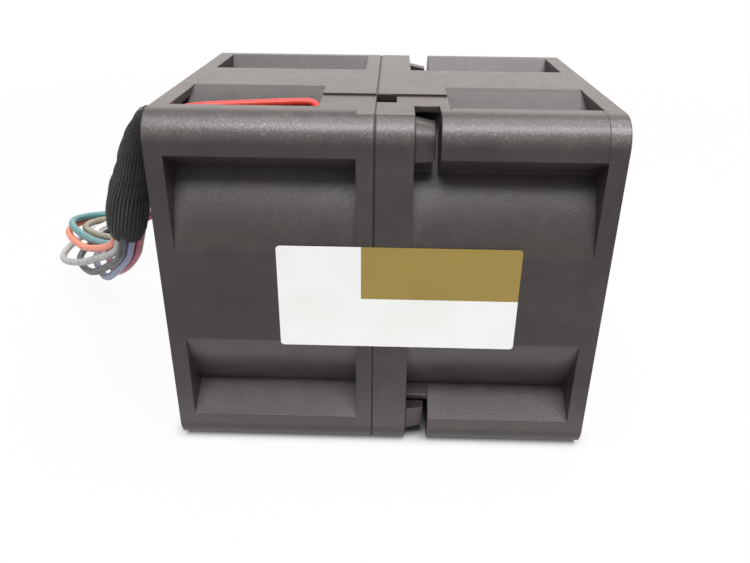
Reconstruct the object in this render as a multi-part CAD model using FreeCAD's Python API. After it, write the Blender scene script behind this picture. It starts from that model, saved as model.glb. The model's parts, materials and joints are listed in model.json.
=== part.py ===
import FreeCAD, Part
import math
import os
from collections import namedtuple
from FreeCAD import Vector

# Double axial fan, 40 mm square, of two frames snapped together end to end. Millimetres.
# X is the fan's axis, Z is up, and the origin is the middle of the resting face.

# Frames
SIDE = 40.0
INLET_LENGTH = 23.0
OUTLET_LENGTH = 25.0
CORNER_R = 3.0
BORE_MARGIN = 1.0
DUCT_WALL = 1.7
MOUTH_FLARE = 0.5
MOUTH_DEPTH = 1.4
END_FLANGE = 1.9
INLET_SEAM_FLANGE = 1.85
OUTLET_SEAM_FLANGE = 3.95
SEAM_RELIEF = 0.12
BAR_LIP = 4.2
BAR_WEB = 3.3

# Mounting holes, through each end flange into the corner bar
HOLE_EDGE = 4.0
INLET_HOLE_R = 1.45
OUTLET_HOLE_R = 1.65
HOLE_DEPTH = 8.0

# Snap hooks of the inlet frame and their windows in the outlet frame
HOOK_EDGE = 1.0
HOOK_HEAD = 3.8
HOOK_BARB = 0.6
HOOK_LENGTH = 2.1
HOOK_TAPER = 0.45
WINDOW_GAP = 0.2
HOOK_GAP = 0.05
BAR_CUT = 2.65

# Wire channel along the upper front corner
WIRE_R = 0.45
WIRE_GAP = 0.05
PAD_DROP = 0.2
PAD_DEPTH = 10.7
CHANNEL_ROOF = 0.85
INLET_TAB = 4.1
OUTLET_TAB = 3.7
TAB_SEAT = 0.8
TAB_SET_BACK = 5.8
NOTCH_LENGTH = 2.15
NOTCH_WIDTH = 3.3
WINDOW_WALL = 0.7
DUCT_WIRES = 4
BAR_WIRES = 2
RED_CLIMB = 1.8
RED_AT_TAB = 8.3
RED_AT_FLANGE = 7.0

# Label
LABEL_LENGTH = 26.0
LABEL_HEIGHT = 12.1
LABEL_LEFT = 12.7
LABEL_BOTTOM = 14.2
LABEL_CORNER = 0.4
LABEL_T = 0.08

# Bearings and shaft
SHAFT_R = 1.5
BEARING_R = 3.5
BEARING_WIDTH = 3.0
BALL_R = 0.6
BALL_COUNT = 7
RING_GAP = 0.45
BALL_GAP = 0.03
SHIELD_T = 0.15
SHIELD_REACH = 0.75
FIT = 0.01

# Motor, from the axis outwards
TUBE_WALL = 0.8
TUBE_SHOULDER = 0.6
CORE_STACK = 8.0
CORE_RING = 1.1
TOOTH_COUNT = 4
TOOTH_WIDTH = 2.2
SLOT_DEPTH = 2.1
SHOE_T = 0.9
SHOE_ANGLE = 74.0
INSULATOR_T = 0.4
COIL_BUILD = 1.0
COIL_GAP = 0.05
COIL_ROUND = 0.9
AIR_GAP = 0.4
MAGNET_T = 0.9
YOKE_T = 0.6
HUB_WALL = 0.7

# Motor, along the axis
HUB_RECESS = 1.2
HUB_FRONT = 1.4
HUB_ROUND = 1.0
HUB_BOSS_R = 3.0
HUB_BOSS_LENGTH = 1.4
WASHER_HEIGHT = 0.7
WASHER_T = 0.2
BASE_FLOOR = 1.4
BASE_SKIN = 0.6
BASE_RIM_HEIGHT = 2.8
BASE_RIM_T = 0.8
BOARD_LEDGE = 0.8
BOARD_T = 0.8
BOARD_LEDGE_WIDTH = 1.2
SOCKET_WALL = 0.9
ROTOR_GAP = 0.3
COIL_CLEAR = 0.3
MAGNET_OVER = 0.6
THRUST_T = 0.25
CLIP_T = 0.4
CLIP_R = 2.3
CLIP_GROOVE = 0.35
CLIP_MOUTH = 1.6
SHAFT_END_GAP = 0.25
CLIP_ROOM = 0.3

# Blades and struts
TIP_GAP = 0.5
BLADE_T = 0.9
BLADE_ROOT_ANGLE = 36.0
BLADE_TIP_ANGLE = 52.0
BLADE_CAMBER = 0.1
BLADE_MARGIN = 1.0
BLADE_EDGE = 0.35
BLADE_NOSE = 0.2
BLADE_STATIONS = 4
INLET_BLADES = 7
OUTLET_BLADES = 5
STRUT_COUNT = 4
STRUT_T = 1.8
LEAD_STRUT_T = 4.6
STRUT_LEADS = 4
STRUT_DEPTH = 3.4
STRUT_ANGLE = 127.0

# Board's parts
DRIVER_WIDTH = 4.0
DRIVER_DEPTH = 3.2
DRIVER_HEIGHT = 0.75
SENSOR_WIDTH = 3.0
SENSOR_DEPTH = 2.6
SENSOR_HEIGHT = 0.6
CAPACITOR_WIDTH = 2.0
CAPACITOR_DEPTH = 1.3
CAPACITOR_HEIGHT = 1.0
RESISTOR_WIDTH = 2.0
RESISTOR_DEPTH = 1.3
RESISTOR_HEIGHT = 0.8

# Lead: sleeve, wires and connector
SLEEVE_R = 2.35
LOOSE_R = 0.5
BEND_SHARE = 0.45
CONNECTOR_PITCH = 2.0
CONNECTOR_ROWS = 2
CONNECTOR_COLUMNS = 4
CONNECTOR_MARGIN = 0.8
CONNECTOR_LENGTH = 12.0
CONNECTOR_X = -12.0
CONNECTOR_Y = 28.8
TERMINAL = 1.2
TERMINAL_LENGTH = 9.0
CAVITY_GAP = 0.1
LATCH_LENGTH = 8.0
LATCH_WIDTH = 4.0
LATCH_T = 0.8
LATCH_LIFT = 0.7

# Routes of the free lead, in order from the fan
SLEEVE_ROUTE = [
    (-22.0, -12.7, 37.6), (-26.6, -12.0, 36.8), (-28.9, -9.4, 32.6), (-31.6, -4.2, 26.2), (-35.2, 0.6, 18.2),
]
WIRE_ROUTES = {
    "orange": [
        (-36.736, 0.648, 18.92), (-38.032, 2.376, 16.04), (-42.3, 6.7, 13.3), (-48.0, 12.8, 10.8),
        (-53.4, 19.6, 10.6), (-53.4, 25.4, 10.0), (-49.6, 29.4, 9.8), (-41.0, 30.8, 12.4),
        (-33.0, 31.2, 9.2), (-21.5, 31.8, 3.8), (-12.0, 31.8, 3.8),
    ],
    "teal": [
        (-35.776, 1.368, 18.92), (-37.072, 3.096, 16.04), (-41.4, 7.5, 13.7), (-47.2, 13.7, 11.9),
        (-52.8, 20.0, 11.9), (-52.8, 24.9, 11.2), (-49.1, 28.3, 10.4), (-40.8, 29.4, 12.6),
        (-33.0, 29.6, 9.2), (-21.5, 29.8, 3.8), (-12.0, 29.8, 3.8),
    ],
    "olive": [
        (-34.816, 2.088, 18.92), (-36.112, 3.816, 16.04), (-40.5, 8.3, 14.4), (-46.3, 14.5, 12.9),
        (-51.7, 20.4, 12.6), (-51.7, 24.5, 11.9), (-48.2, 27.3, 11.1), (-40.6, 28.0, 13.2),
        (-33.0, 27.9, 9.2), (-21.5, 27.8, 3.8), (-12.0, 27.8, 3.8),
    ],
    "white": [
        (-34.24, 1.32, 18.2), (-35.536, 3.048, 15.32), (-39.9, 8.4, 13.3), (-46.1, 15.7, 11.6),
        (-50.5, 20.6, 11.4), (-50.5, 24.1, 11.1), (-47.4, 26.2, 11.2), (-40.4, 26.6, 13.4),
        (-33.0, 26.2, 9.2), (-21.5, 25.8, 3.8), (-12.0, 25.8, 3.8),
    ],
    "grey": [
        (-36.16, -0.12, 18.2), (-37.456, 1.608, 15.32), (-41.9, 6.2, 12.3), (-48.6, 12.2, 8.2),
        (-56.0, 20.7, 4.9), (-56.0, 26.9, 5.6), (-51.6, 31.3, 7.4), (-41.0, 31.8, 11.0), (-33.0, 31.6, 7.8),
        (-21.5, 31.8, 1.8), (-12.0, 31.8, 1.8),
    ],
    "black": [
        (-35.584, -0.888, 17.48), (-36.88, 0.84, 14.6), (-41.0, 5.4, 11.1), (-46.0, 11.4, 7.0),
        (-49.8, 16.4, 5.2), (-53.0, 21.2, 4.9), (-53.0, 26.4, 5.4), (-49.4, 30.0, 7.2), (-40.8, 30.4, 11.2),
        (-33.0, 30.0, 7.8), (-21.5, 29.8, 1.8), (-12.0, 29.8, 1.8),
    ],
    "blue": [
        (-34.624, -0.168, 17.48), (-35.92, 1.56, 14.6), (-39.3, 5.0, 10.8), (-43.6, 10.4, 6.5),
        (-47.2, 16.2, 5.0), (-50.3, 21.7, 4.9), (-50.3, 25.9, 5.4), (-47.4, 28.8, 7.2), (-40.6, 29.0, 11.4),
        (-33.0, 28.4, 7.8), (-21.5, 27.8, 1.8), (-12.0, 27.8, 1.8),
    ],
    "crimson": [
        (-33.664, 0.552, 17.48), (-34.96, 2.28, 14.6), (-37.9, 5.0, 11.2), (-41.8, 9.8, 7.9),
        (-45.1, 16.0, 6.4), (-48.0, 21.9, 5.8), (-48.0, 25.3, 6.2), (-45.5, 27.6, 7.8), (-40.2, 27.6, 11.6),
        (-33.0, 26.9, 8.1), (-21.5, 25.8, 1.8), (-12.0, 25.8, 1.8),
    ],
}

HALF = SIDE / 2
BORE_R = HALF - BORE_MARGIN
HOLE_SPACING = SIDE - 2 * HOLE_EDGE
AXIS_Z = HALF
X_LEFT = -(INLET_LENGTH + OUTLET_LENGTH) / 2
X_SEAM = X_LEFT + INLET_LENGTH
X_RIGHT = X_SEAM + OUTLET_LENGTH
DUCT_R = BORE_R + DUCT_WALL
TUBE_R = BEARING_R + TUBE_WALL
CORE_R = TUBE_R + CORE_RING + SLOT_DEPTH + SHOE_T
PITCH_R = (SHAFT_R + BEARING_R) / 2
MAGNET_IN = CORE_R + AIR_GAP
MAGNET_OUT = MAGNET_IN + MAGNET_T
YOKE_IN = MAGNET_OUT + FIT
YOKE_OUT = YOKE_IN + YOKE_T
HUB_IN = YOKE_OUT + FIT
HUB_R = HUB_IN + HUB_WALL
CORNERS = [(sy, sz) for sy in (-1, 1) for sz in (-1, 1)]
LEAD_CORNER = (-1, 1)
# Angle, width, depth and height of each part on a board
COMPONENTS = [
    (20, DRIVER_WIDTH, DRIVER_DEPTH, DRIVER_HEIGHT),
    (110, SENSOR_WIDTH, SENSOR_DEPTH, SENSOR_HEIGHT),
    (200, CAPACITOR_WIDTH, CAPACITOR_DEPTH, CAPACITOR_HEIGHT),
    (290, RESISTOR_WIDTH, RESISTOR_DEPTH, RESISTOR_HEIGHT),
]

# A stage is one motor and its frame: u runs along the axis from the open end to the seam
Stage = namedtuple("Stage", "name start sign length blades hand hole_r")
INLET = Stage("inlet", X_LEFT, 1, INLET_LENGTH, INLET_BLADES, 1, INLET_HOLE_R)
OUTLET = Stage("outlet", X_RIGHT, -1, OUTLET_LENGTH, OUTLET_BLADES, -1, OUTLET_HOLE_R)


def at(stage, u):
    """X of a place that lies u from a stage's open end."""
    return stage.start + stage.sign * u


def axis_point(x):
    return Vector(x, 0, AXIS_Z)


def block(x0, x1, y0, y1, z0, z1):
    low = Vector(min(x0, x1), min(y0, y1), min(z0, z1))
    return Part.makeBox(abs(x1 - x0), abs(y1 - y0), abs(z1 - z0), low)


def disc(radius, x0, x1):
    """Cylinder on the fan's axis."""
    return Part.makeCylinder(radius, abs(x1 - x0), axis_point(min(x0, x1)), Vector(1, 0, 0))


def ring(outer, inner, x0, x1):
    return disc(outer, x0, x1).cut(disc(inner, x0, x1))


def prism(points, x0, x1):
    """Polygon of (y, z) points, drawn out along X."""
    corners = [Vector(x0, y, z) for y, z in points]
    face = Part.Face(Part.makePolygon(corners + corners[:1]))
    return face.extrude(Vector(x1 - x0, 0, 0))


def revolved(points):
    """Polygon of (x, radius) points, turned about the fan's axis."""
    corners = [Vector(x, 0, AXIS_Z + r) for x, r in points]
    face = Part.Face(Part.makePolygon(corners + corners[:1]))
    return face.revolve(axis_point(0), Vector(1, 0, 0), 360)


def turned(shape, angle):
    """Copy of a shape, turned about the fan's axis."""
    copy = shape.copy()
    copy.rotate(axis_point(0), Vector(1, 0, 0), angle)
    return copy


def around(shape, count):
    return [turned(shape, 360.0 * i / count) for i in range(count)]


def fused(shapes):
    return shapes[0].multiFuse(shapes[1:]).removeSplitter()


def rounded_square(x0, x1, inset=0.0):
    """Slab of the frame's outline, with its long edges rounded."""
    slab = block(x0, x1, -HALF + inset, HALF - inset, inset, SIDE - inset)
    long_edges = [e for e in slab.Edges if abs(e.tangentAt(e.FirstParameter).x) > 0.5]
    return slab.makeFillet(CORNER_R - inset, long_edges)


def from_corner(corner, a, b):
    """(y, z) of a point that lies a from the side face and b from the top or bottom face of a corner."""
    sy, sz = corner
    return sy * (HALF - a), AXIS_Z + sz * (HALF - b)


def fold():
    """Where a corner bar's sloping face meets the duct, as distances from the two faces of the corner."""
    angle = math.pi / 4 - math.asin(BAR_WEB / 2 / DUCT_R)
    return HALF - DUCT_R * math.cos(angle), HALF - DUCT_R * math.sin(angle)


def corner_bar(corner, x0, x1):
    """Bar of kite section between the rounded corner and the duct."""
    near, far = fold()
    outline = [(0, 0), (BAR_LIP, 0), (far, near), (far, far), (near, far), (0, BAR_LIP)]
    return prism([from_corner(corner, a, b) for a, b in outline], x0, x1)


def frame_shell(stage, seam_flange, bars_until):
    """Duct, corner bars and flanges of one frame, before its bore."""
    x0, x1 = at(stage, 0), at(stage, stage.length)
    flange_end, flange_start = at(stage, END_FLANGE), at(stage, stage.length - seam_flange)
    relief = at(stage, stage.length - SEAM_RELIEF)
    outline = rounded_square(flange_end, flange_start)
    duct = disc(DUCT_R, flange_end, flange_start)
    bars = [corner_bar(c, flange_end, at(stage, bars_until)) for c in CORNERS]
    core = fused([duct] + bars).common(outline)
    flanges = [
        rounded_square(x0, flange_end),
        rounded_square(flange_start, relief),
        rounded_square(relief, x1, SEAM_RELIEF),
    ]
    return fused([core] + flanges)


def duct_space(stage):
    """What is taken out of a frame for the air: the bore and its flared mouth."""
    x0, x1 = at(stage, 0), at(stage, stage.length)
    mouth = at(stage, MOUTH_DEPTH)
    flare = revolved([(x0, 0), (x0, BORE_R + MOUTH_FLARE), (mouth, BORE_R), (mouth, 0)])
    return disc(BORE_R, x0, x1).fuse(flare)


def mounting_holes(stage):
    reach = HOLE_SPACING / 2
    holes = []
    for sy, sz in CORNERS:
        low = Vector(min(at(stage, 0), at(stage, HOLE_DEPTH)), sy * reach, AXIS_Z + sz * reach)
        holes.append(Part.makeCylinder(stage.hole_r, HOLE_DEPTH, low, Vector(1, 0, 0)))
    return holes


def motor_base(stage):
    """Base disc with its rim, board ledge and tube socket, and the struts that carry it."""
    end = stage.length
    floor = at(stage, end - BASE_FLOOR)
    ledge = at(stage, end - BASE_FLOOR - BOARD_LEDGE)
    rim_in = HUB_R - BASE_RIM_T
    pieces = [
        disc(HUB_R, floor, at(stage, end)),
        ring(HUB_R, rim_in, at(stage, end - BASE_FLOOR - BASE_RIM_HEIGHT), floor),
        ring(rim_in + FIT, rim_in - BOARD_LEDGE_WIDTH, ledge, floor),
        ring(TUBE_R + SOCKET_WALL, TUBE_R - FIT, ledge, floor),
    ]
    top = at(stage, end - STRUT_DEPTH)
    for i in range(STRUT_COUNT):
        width = LEAD_STRUT_T if i == 0 else STRUT_T
        bar = block(top, at(stage, end), HUB_R - BASE_RIM_T / 2, DUCT_R - DUCT_WALL / 2,
                    AXIS_Z - width / 2, AXIS_Z + width / 2)
        pieces.append(turned(bar, STRUT_ANGLE + 360.0 * i / STRUT_COUNT))
    return fused(pieces).cut(disc(TUBE_R + FIT, ledge, at(stage, end - BASE_SKIN)))


def channel_places():
    """(y, z) of the wires in the channel: stacked in the groove between the upper front bar and the duct."""
    near, far = fold()
    lip, root = from_corner(LEAD_CORNER, BAR_LIP, 0), from_corner(LEAD_CORNER, far, near)
    slope = Vector(0, root[0] - lip[0], root[1] - lip[1]).normalize()
    off_bar = Vector(0, -slope.z, slope.y)
    pitch = 2 * WIRE_R + WIRE_GAP
    centre = axis_point(0)
    reach = DUCT_R + WIRE_R + WIRE_GAP
    on_bar = Vector(0, lip[0], lip[1]) + off_bar * (WIRE_R + WIRE_GAP)
    along = (centre - on_bar).dot(slope)
    foot = on_bar + slope * along
    bottom = foot - slope * math.sqrt(reach ** 2 - (foot - centre).Length ** 2)
    step = math.degrees(2 * math.asin(pitch / 2 / reach))
    on_duct = [bottom]
    for _ in range(1, DUCT_WIRES):
        arm = on_duct[-1] - centre
        spun = FreeCAD.Rotation(Vector(1, 0, 0), -step).multVec(arm)
        on_duct.append(centre + spun)
    on_bar_next = [bottom - slope * pitch * i for i in range(1, BAR_WIRES + 1)]
    middle = on_bar_next[0] + on_duct[1] - bottom
    red = middle + on_duct[2] - on_duct[1]
    return on_duct + on_bar_next + [middle], red


def wire_window(x0, x1):
    """Opening in a flange that lets the channel's wires through, under a thin roof."""
    near, far = fold()
    roof = SIDE - CHANNEL_ROOF
    lip, root = from_corner(LEAD_CORNER, BAR_LIP, 0), from_corner(LEAD_CORNER, far, near)
    lean = (root[0] - lip[0]) / (lip[1] - root[1])
    left = lip[0] + lean * CHANNEL_ROOF
    right = -math.sqrt(DUCT_R ** 2 - (roof - AXIS_Z) ** 2)
    bottom = root[1] - WINDOW_WALL
    outline = [(left, roof), (right + WIRE_R, roof), (root[0] + lean * WINDOW_WALL, bottom)]
    return prism(outline, x0, x1).cut(disc(DUCT_R - WINDOW_WALL, x0, x1))


def lead_space(stage):
    """Room over the wide strut for a motor's leads, through the base's rim and the duct's wall."""
    low = stage.length - STRUT_DEPTH
    width = LEAD_STRUT_T - WINDOW_WALL
    space = block(at(stage, low - 2 * (WIRE_R + WIRE_GAP)), at(stage, low), HUB_R - 2 * BASE_RIM_T, DUCT_R + WIRE_R,
                  AXIS_Z - width / 2, AXIS_Z + width / 2)
    return turned(space, STRUT_ANGLE)


def pad(x0, x1, front):
    """The step that lowers the top face from a front edge back to the channel's land."""
    return block(x0, x1, front, -HALF + PAD_DEPTH, SIDE - PAD_DROP, SIDE)


def tab_front():
    """Front edge of a tab where it is seated on the bar's lip."""
    return -HALF + BAR_LIP - TAB_SEAT


def roof_tab(x_root, x_tip, front):
    """Tab from a seam flange over the wire channel, back from a front edge."""
    return block(x_root, x_tip, front, -HALF + PAD_DEPTH, SIDE - CHANNEL_ROOF, SIDE - PAD_DROP)


def roof_land(x_root, x_tip):
    """Flat land behind a tab, level with the top face, that carries the tab on the duct."""
    low = SIDE - DUCT_WALL - PAD_DROP
    return block(x_root, x_tip, -HALF + PAD_DEPTH, 0, low, SIDE)


def hook_outline(corner, outer, inner, x):
    """Square from outer to inner off both faces of a corner, with its outer corner round like the frame's."""
    bend = CORNER_R - (CORNER_R - outer) / math.sqrt(2)
    sites = [(inner, inner), (inner, outer), (CORNER_R, outer), (bend, bend), (outer, CORNER_R), (outer, inner)]
    p = [Vector(x, *from_corner(corner, a, b)) for a, b in sites]
    sides = [Part.LineSegment(p[i], p[j]).toShape() for i, j in ((0, 1), (1, 2), (4, 5), (5, 0))]
    return Part.Wire([sides[0], sides[1], Part.Arc(p[2], p[3], p[4]).toShape(), sides[2], sides[3]])


def hook_post(corner, outer, inner, x0, x1):
    return Part.Face(hook_outline(corner, outer, inner, x0)).extrude(Vector(x1 - x0, 0, 0))


def snap_hook(corner):
    """Arm and barbed, tapered head at one corner of the inlet frame."""
    inner = HOOK_EDGE + HOOK_HEAD
    under = X_SEAM + OUTLET_SEAM_FLANGE + HOOK_GAP
    tip = under + HOOK_LENGTH
    arm = hook_post(corner, HOOK_EDGE + HOOK_BARB, inner, X_SEAM - INLET_SEAM_FLANGE, tip)
    ends = [hook_outline(corner, HOOK_EDGE, inner, under), hook_outline(corner, HOOK_EDGE + HOOK_TAPER, inner, tip)]
    return arm.fuse(Part.makeLoft(ends, True, True)).removeSplitter()


def inlet_frame():
    shell = frame_shell(INLET, INLET_SEAM_FLANGE, INLET_LENGTH)
    flange = X_SEAM - INLET_SEAM_FLANGE
    tip = flange - INLET_TAB
    shell = fused([shell, roof_land(flange, tip)]).cut(duct_space(INLET))
    shell = shell.cut([pad(flange, X_SEAM, -HALF), pad(tip, flange, tab_front())])
    shell = fused([shell, motor_base(INLET), roof_tab(flange, tip, tab_front())])
    cuts = mounting_holes(INLET)
    cuts.append(wire_window(X_LEFT, X_LEFT + END_FLANGE))
    cuts.append(wire_window(flange, X_SEAM))
    cuts.append(lead_space(INLET))
    return fused([shell.cut(cuts)] + [snap_hook(c) for c in CORNERS])


def outlet_frame():
    flange = X_SEAM + OUTLET_SEAM_FLANGE
    shell = frame_shell(OUTLET, OUTLET_SEAM_FLANGE, OUTLET_LENGTH - OUTLET_SEAM_FLANGE - BAR_CUT)
    tip = flange + OUTLET_TAB
    shell = fused([shell, roof_land(flange, tip)]).cut(duct_space(OUTLET))
    shell = shell.cut([pad(X_SEAM, flange, -HALF), pad(flange, tip, tab_front())])
    tab = [roof_tab(flange, tip, -HALF + TAB_SET_BACK), roof_tab(flange + BAR_CUT, tip, tab_front())]
    shell = fused([shell, motor_base(OUTLET)] + tab)
    window = HOOK_EDGE + HOOK_BARB - WINDOW_GAP
    cuts = mounting_holes(OUTLET)
    for corner in CORNERS:
        cuts.append(hook_post(corner, window, HOOK_EDGE + HOOK_HEAD + WINDOW_GAP, X_SEAM, flange))
    cuts.append(wire_window(X_SEAM, flange))
    notch = -HALF + PAD_DEPTH
    cuts.append(block(X_SEAM, X_SEAM + NOTCH_LENGTH, notch - NOTCH_WIDTH, notch,
                      SIDE - CHANNEL_ROOF - WIRE_R, SIDE))
    cuts.append(lead_space(OUTLET))
    return shell.cut(cuts)


def side_label():
    """Flat label with rounded corners on the front face, over the seam."""
    left = X_LEFT + LABEL_LEFT
    plate = block(left, left + LABEL_LENGTH, -HALF - LABEL_T, -HALF, LABEL_BOTTOM, LABEL_BOTTOM + LABEL_HEIGHT)
    short_edges = [e for e in plate.Edges if abs(e.tangentAt(e.FirstParameter).y) > 0.5]
    return plate.makeFillet(LABEL_CORNER, short_edges)


# Places along the axis that several pieces of a motor share
def boss_end(stage):
    return HUB_RECESS + HUB_FRONT + YOKE_T + HUB_BOSS_LENGTH


def tube_start(stage):
    return boss_end(stage) + WASHER_HEIGHT


def tube_end(stage):
    return stage.length - BASE_SKIN


def bearing_starts(stage):
    """u of the two bearings' faces on the open end's side."""
    room = THRUST_T + CLIP_T + CLIP_ROOM + SHAFT_END_GAP
    return tube_start(stage), tube_end(stage) - room - BEARING_WIDTH


def board_top(stage):
    return stage.length - BASE_FLOOR - BOARD_LEDGE - BOARD_T


def core_end(stage):
    return board_top(stage) - max(c[3] for c in COMPONENTS) - COIL_CLEAR - COIL_BUILD - INSULATOR_T


def core_start(stage):
    return core_end(stage) - CORE_STACK


def skirt_end(stage):
    return stage.length - BASE_FLOOR - BASE_RIM_HEIGHT - ROTOR_GAP


def bearing_tube(stage):
    """Brass tube with a seat for a bearing at each end and a shoulder between them."""
    first, second = bearing_starts(stage)
    x0, x1 = at(stage, tube_start(stage)), at(stage, tube_end(stage))
    seat = BEARING_R + FIT
    shoulder = BEARING_R - TUBE_SHOULDER
    return ring(TUBE_R, shoulder, x0, x1).cut(
        [disc(seat, x0, at(stage, first + BEARING_WIDTH)), disc(seat, at(stage, second), x1)])


def circuit_board(stage):
    top = board_top(stage)
    return ring(HUB_R - BASE_RIM_T - FIT, TUBE_R + FIT, at(stage, top), at(stage, top + BOARD_T))


def board_components(stage):
    """Sensor, driver and capacitors, soldered to the board's upper side."""
    top = board_top(stage)
    mid = (TUBE_R + HUB_R - BASE_RIM_T) / 2
    shapes = []
    for angle, wide, deep, tall in COMPONENTS:
        part = block(at(stage, top - tall), at(stage, top), mid - deep / 2, mid + deep / 2,
                     AXIS_Z - wide / 2, AXIS_Z + wide / 2)
        shapes.append(turned(part, angle))
    return Part.makeCompound(shapes)


def tooth_plan(x0, x1):
    """Yoke ring, teeth and pole shoes of the stator, seen along the axis."""
    pieces = [ring(TUBE_R + CORE_RING, TUBE_R + FIT, x0, x1)]
    tooth = block(x0, x1, TUBE_R + CORE_RING / 2, CORE_R - SHOE_T / 2, AXIS_Z - TOOTH_WIDTH / 2, AXIS_Z + TOOTH_WIDTH / 2)
    half = math.radians(SHOE_ANGLE / 2)
    wide = 2 * CORE_R * math.tan(half)
    wedge = prism([(0, AXIS_Z), (2 * CORE_R, AXIS_Z - wide), (2 * CORE_R, AXIS_Z + wide)], x0, x1)
    shoe = ring(CORE_R, CORE_R - SHOE_T, x0, x1).common(wedge)
    for i in range(TOOTH_COUNT):
        pieces += [turned(s, 360.0 * i / TOOTH_COUNT) for s in (tooth, shoe)]
    return fused(pieces)


def stator_core(stage):
    return tooth_plan(at(stage, core_start(stage)), at(stage, core_end(stage)))


def insulators(stage):
    """End caps of the stator core, one on each face."""
    first, last = core_start(stage), core_end(stage)
    return Part.makeCompound([
        tooth_plan(at(stage, first - INSULATOR_T), at(stage, first)),
        tooth_plan(at(stage, last), at(stage, last + INSULATOR_T)),
    ])


def coil_windings(stage):
    """One winding round each tooth, over the end caps."""
    inner = TOOTH_WIDTH / 2 + COIL_GAP
    r0 = TUBE_R + CORE_RING + COIL_GAP
    r1 = math.sqrt((CORE_R - SHOE_T) ** 2 - (inner + COIL_BUILD) ** 2) - COIL_GAP
    first, last = core_start(stage) - INSULATOR_T, core_end(stage) + INSULATOR_T
    solid = block(at(stage, first - COIL_BUILD), at(stage, last + COIL_BUILD), r0, r1,
                  AXIS_Z - inner - COIL_BUILD, AXIS_Z + inner + COIL_BUILD)
    radial = [e for e in solid.Edges if abs(e.tangentAt(e.FirstParameter).y) > 0.5]
    solid = solid.makeFillet(COIL_BUILD * COIL_ROUND, radial)
    hole = block(at(stage, first), at(stage, last), r0, r1, AXIS_Z - inner, AXIS_Z + inner)
    return Part.makeCompound(around(solid.cut(hole), TOOTH_COUNT))


def motor_leads(stage):
    """Four leads that lie side by side on the wide strut, from the board to the slot in the duct's wall."""
    x = at(stage, stage.length - STRUT_DEPTH) - stage.sign * (WIRE_R + WIRE_GAP)
    pitch = 2 * WIRE_R + WIRE_GAP
    leads = []
    for i in range(STRUT_LEADS):
        start = Vector(x, HUB_R - BASE_RIM_T / 2, AXIS_Z + (i - (STRUT_LEADS - 1) / 2) * pitch)
        leads.append(turned(Part.makeCylinder(WIRE_R, DUCT_R - start.y, start, Vector(0, 1, 0)), STRUT_ANGLE))
    return Part.makeCompound(leads)


def race(stage, start):
    """Groove that the balls of one bearing run in."""
    mid = at(stage, start + BEARING_WIDTH / 2)
    return Part.makeTorus(PITCH_R, BALL_R + BALL_GAP, axis_point(mid), Vector(1, 0, 0))


def bearing_rings(stage, outer, inner):
    rings = []
    for start in bearing_starts(stage):
        plain = ring(outer, inner, at(stage, start), at(stage, start + BEARING_WIDTH))
        rings.append(plain.cut(race(stage, start)))
    return Part.makeCompound(rings)


def outer_rings(stage):
    return bearing_rings(stage, BEARING_R, PITCH_R + RING_GAP)


def inner_rings(stage):
    return bearing_rings(stage, PITCH_R - RING_GAP, SHAFT_R + FIT)


def bearing_balls(stage):
    balls = []
    for start in bearing_starts(stage):
        centre = Vector(at(stage, start + BEARING_WIDTH / 2), PITCH_R, AXIS_Z)
        balls += around(Part.makeSphere(BALL_R, centre), BALL_COUNT)
    return Part.makeCompound(balls)


def bearing_shields(stage):
    shields = []
    for start in bearing_starts(stage):
        for face in (start, start + BEARING_WIDTH - SHIELD_T):
            outer = PITCH_R + RING_GAP
            shields.append(ring(outer, outer - SHIELD_REACH, at(stage, face), at(stage, face + SHIELD_T)))
    return Part.makeCompound(shields)


def blade_section(stage, radius, share):
    """Cambered outline of a blade where its middle is at a radius; share runs from 0 at the root to 1 at the tip."""
    first, last = HUB_RECESS + BLADE_MARGIN, skirt_end(stage) - BLADE_MARGIN
    mid, half = (first + last) / 2, (last - first) / 2
    lean = math.radians(BLADE_ROOT_ANGLE + share * (BLADE_TIP_ANGLE - BLADE_ROOT_ANGLE))
    side = half * math.tan(lean)
    bow = BLADE_CAMBER * half / math.cos(lean)
    along, across = Vector(math.cos(lean), 0, math.sin(lean)), Vector(-math.sin(lean), 0, math.cos(lean))
    mid_line = [Vector(-half, 0, -side), across * bow, Vector(half, 0, side)]
    thick = [across * (BLADE_T / 2) * share for share in (BLADE_EDGE, 1, BLADE_EDGE)]
    top = [p + t for p, t in zip(mid_line, thick)]
    low = [p - t for p, t in zip(mid_line, thick)]
    nose, tail = mid_line[0] - along * BLADE_T * BLADE_NOSE, mid_line[2] + along * BLADE_T * BLADE_NOSE

    def placed(p):
        return Vector(at(stage, mid) + stage.sign * p.x, radius, AXIS_Z + stage.hand * stage.sign * p.z)

    upper = Part.Arc(*[placed(p) for p in top]).toShape()
    back = Part.Arc(placed(top[2]), placed(tail), placed(low[2])).toShape()
    lower = Part.Arc(*[placed(p) for p in reversed(low)]).toShape()
    front = Part.Arc(placed(low[0]), placed(nose), placed(top[0])).toShape()
    return Part.Wire([upper, back, lower, front])


def blade(stage):
    """Twisted blade, trimmed to the hub's wall and the tip's circle."""
    tip = BORE_R - TIP_GAP
    inner, outer = HUB_R / 2, tip + TIP_GAP
    radii = [inner + (outer - inner) * i / (BLADE_STATIONS - 1) for i in range(BLADE_STATIONS)]
    sections = [blade_section(stage, r, (r - HUB_R) / (tip - HUB_R)) for r in radii]
    loft = Part.makeLoft(sections, True, False)
    return loft.common(ring(tip, HUB_IN + HUB_WALL / 2, at(stage, 0), at(stage, stage.length)))


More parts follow.
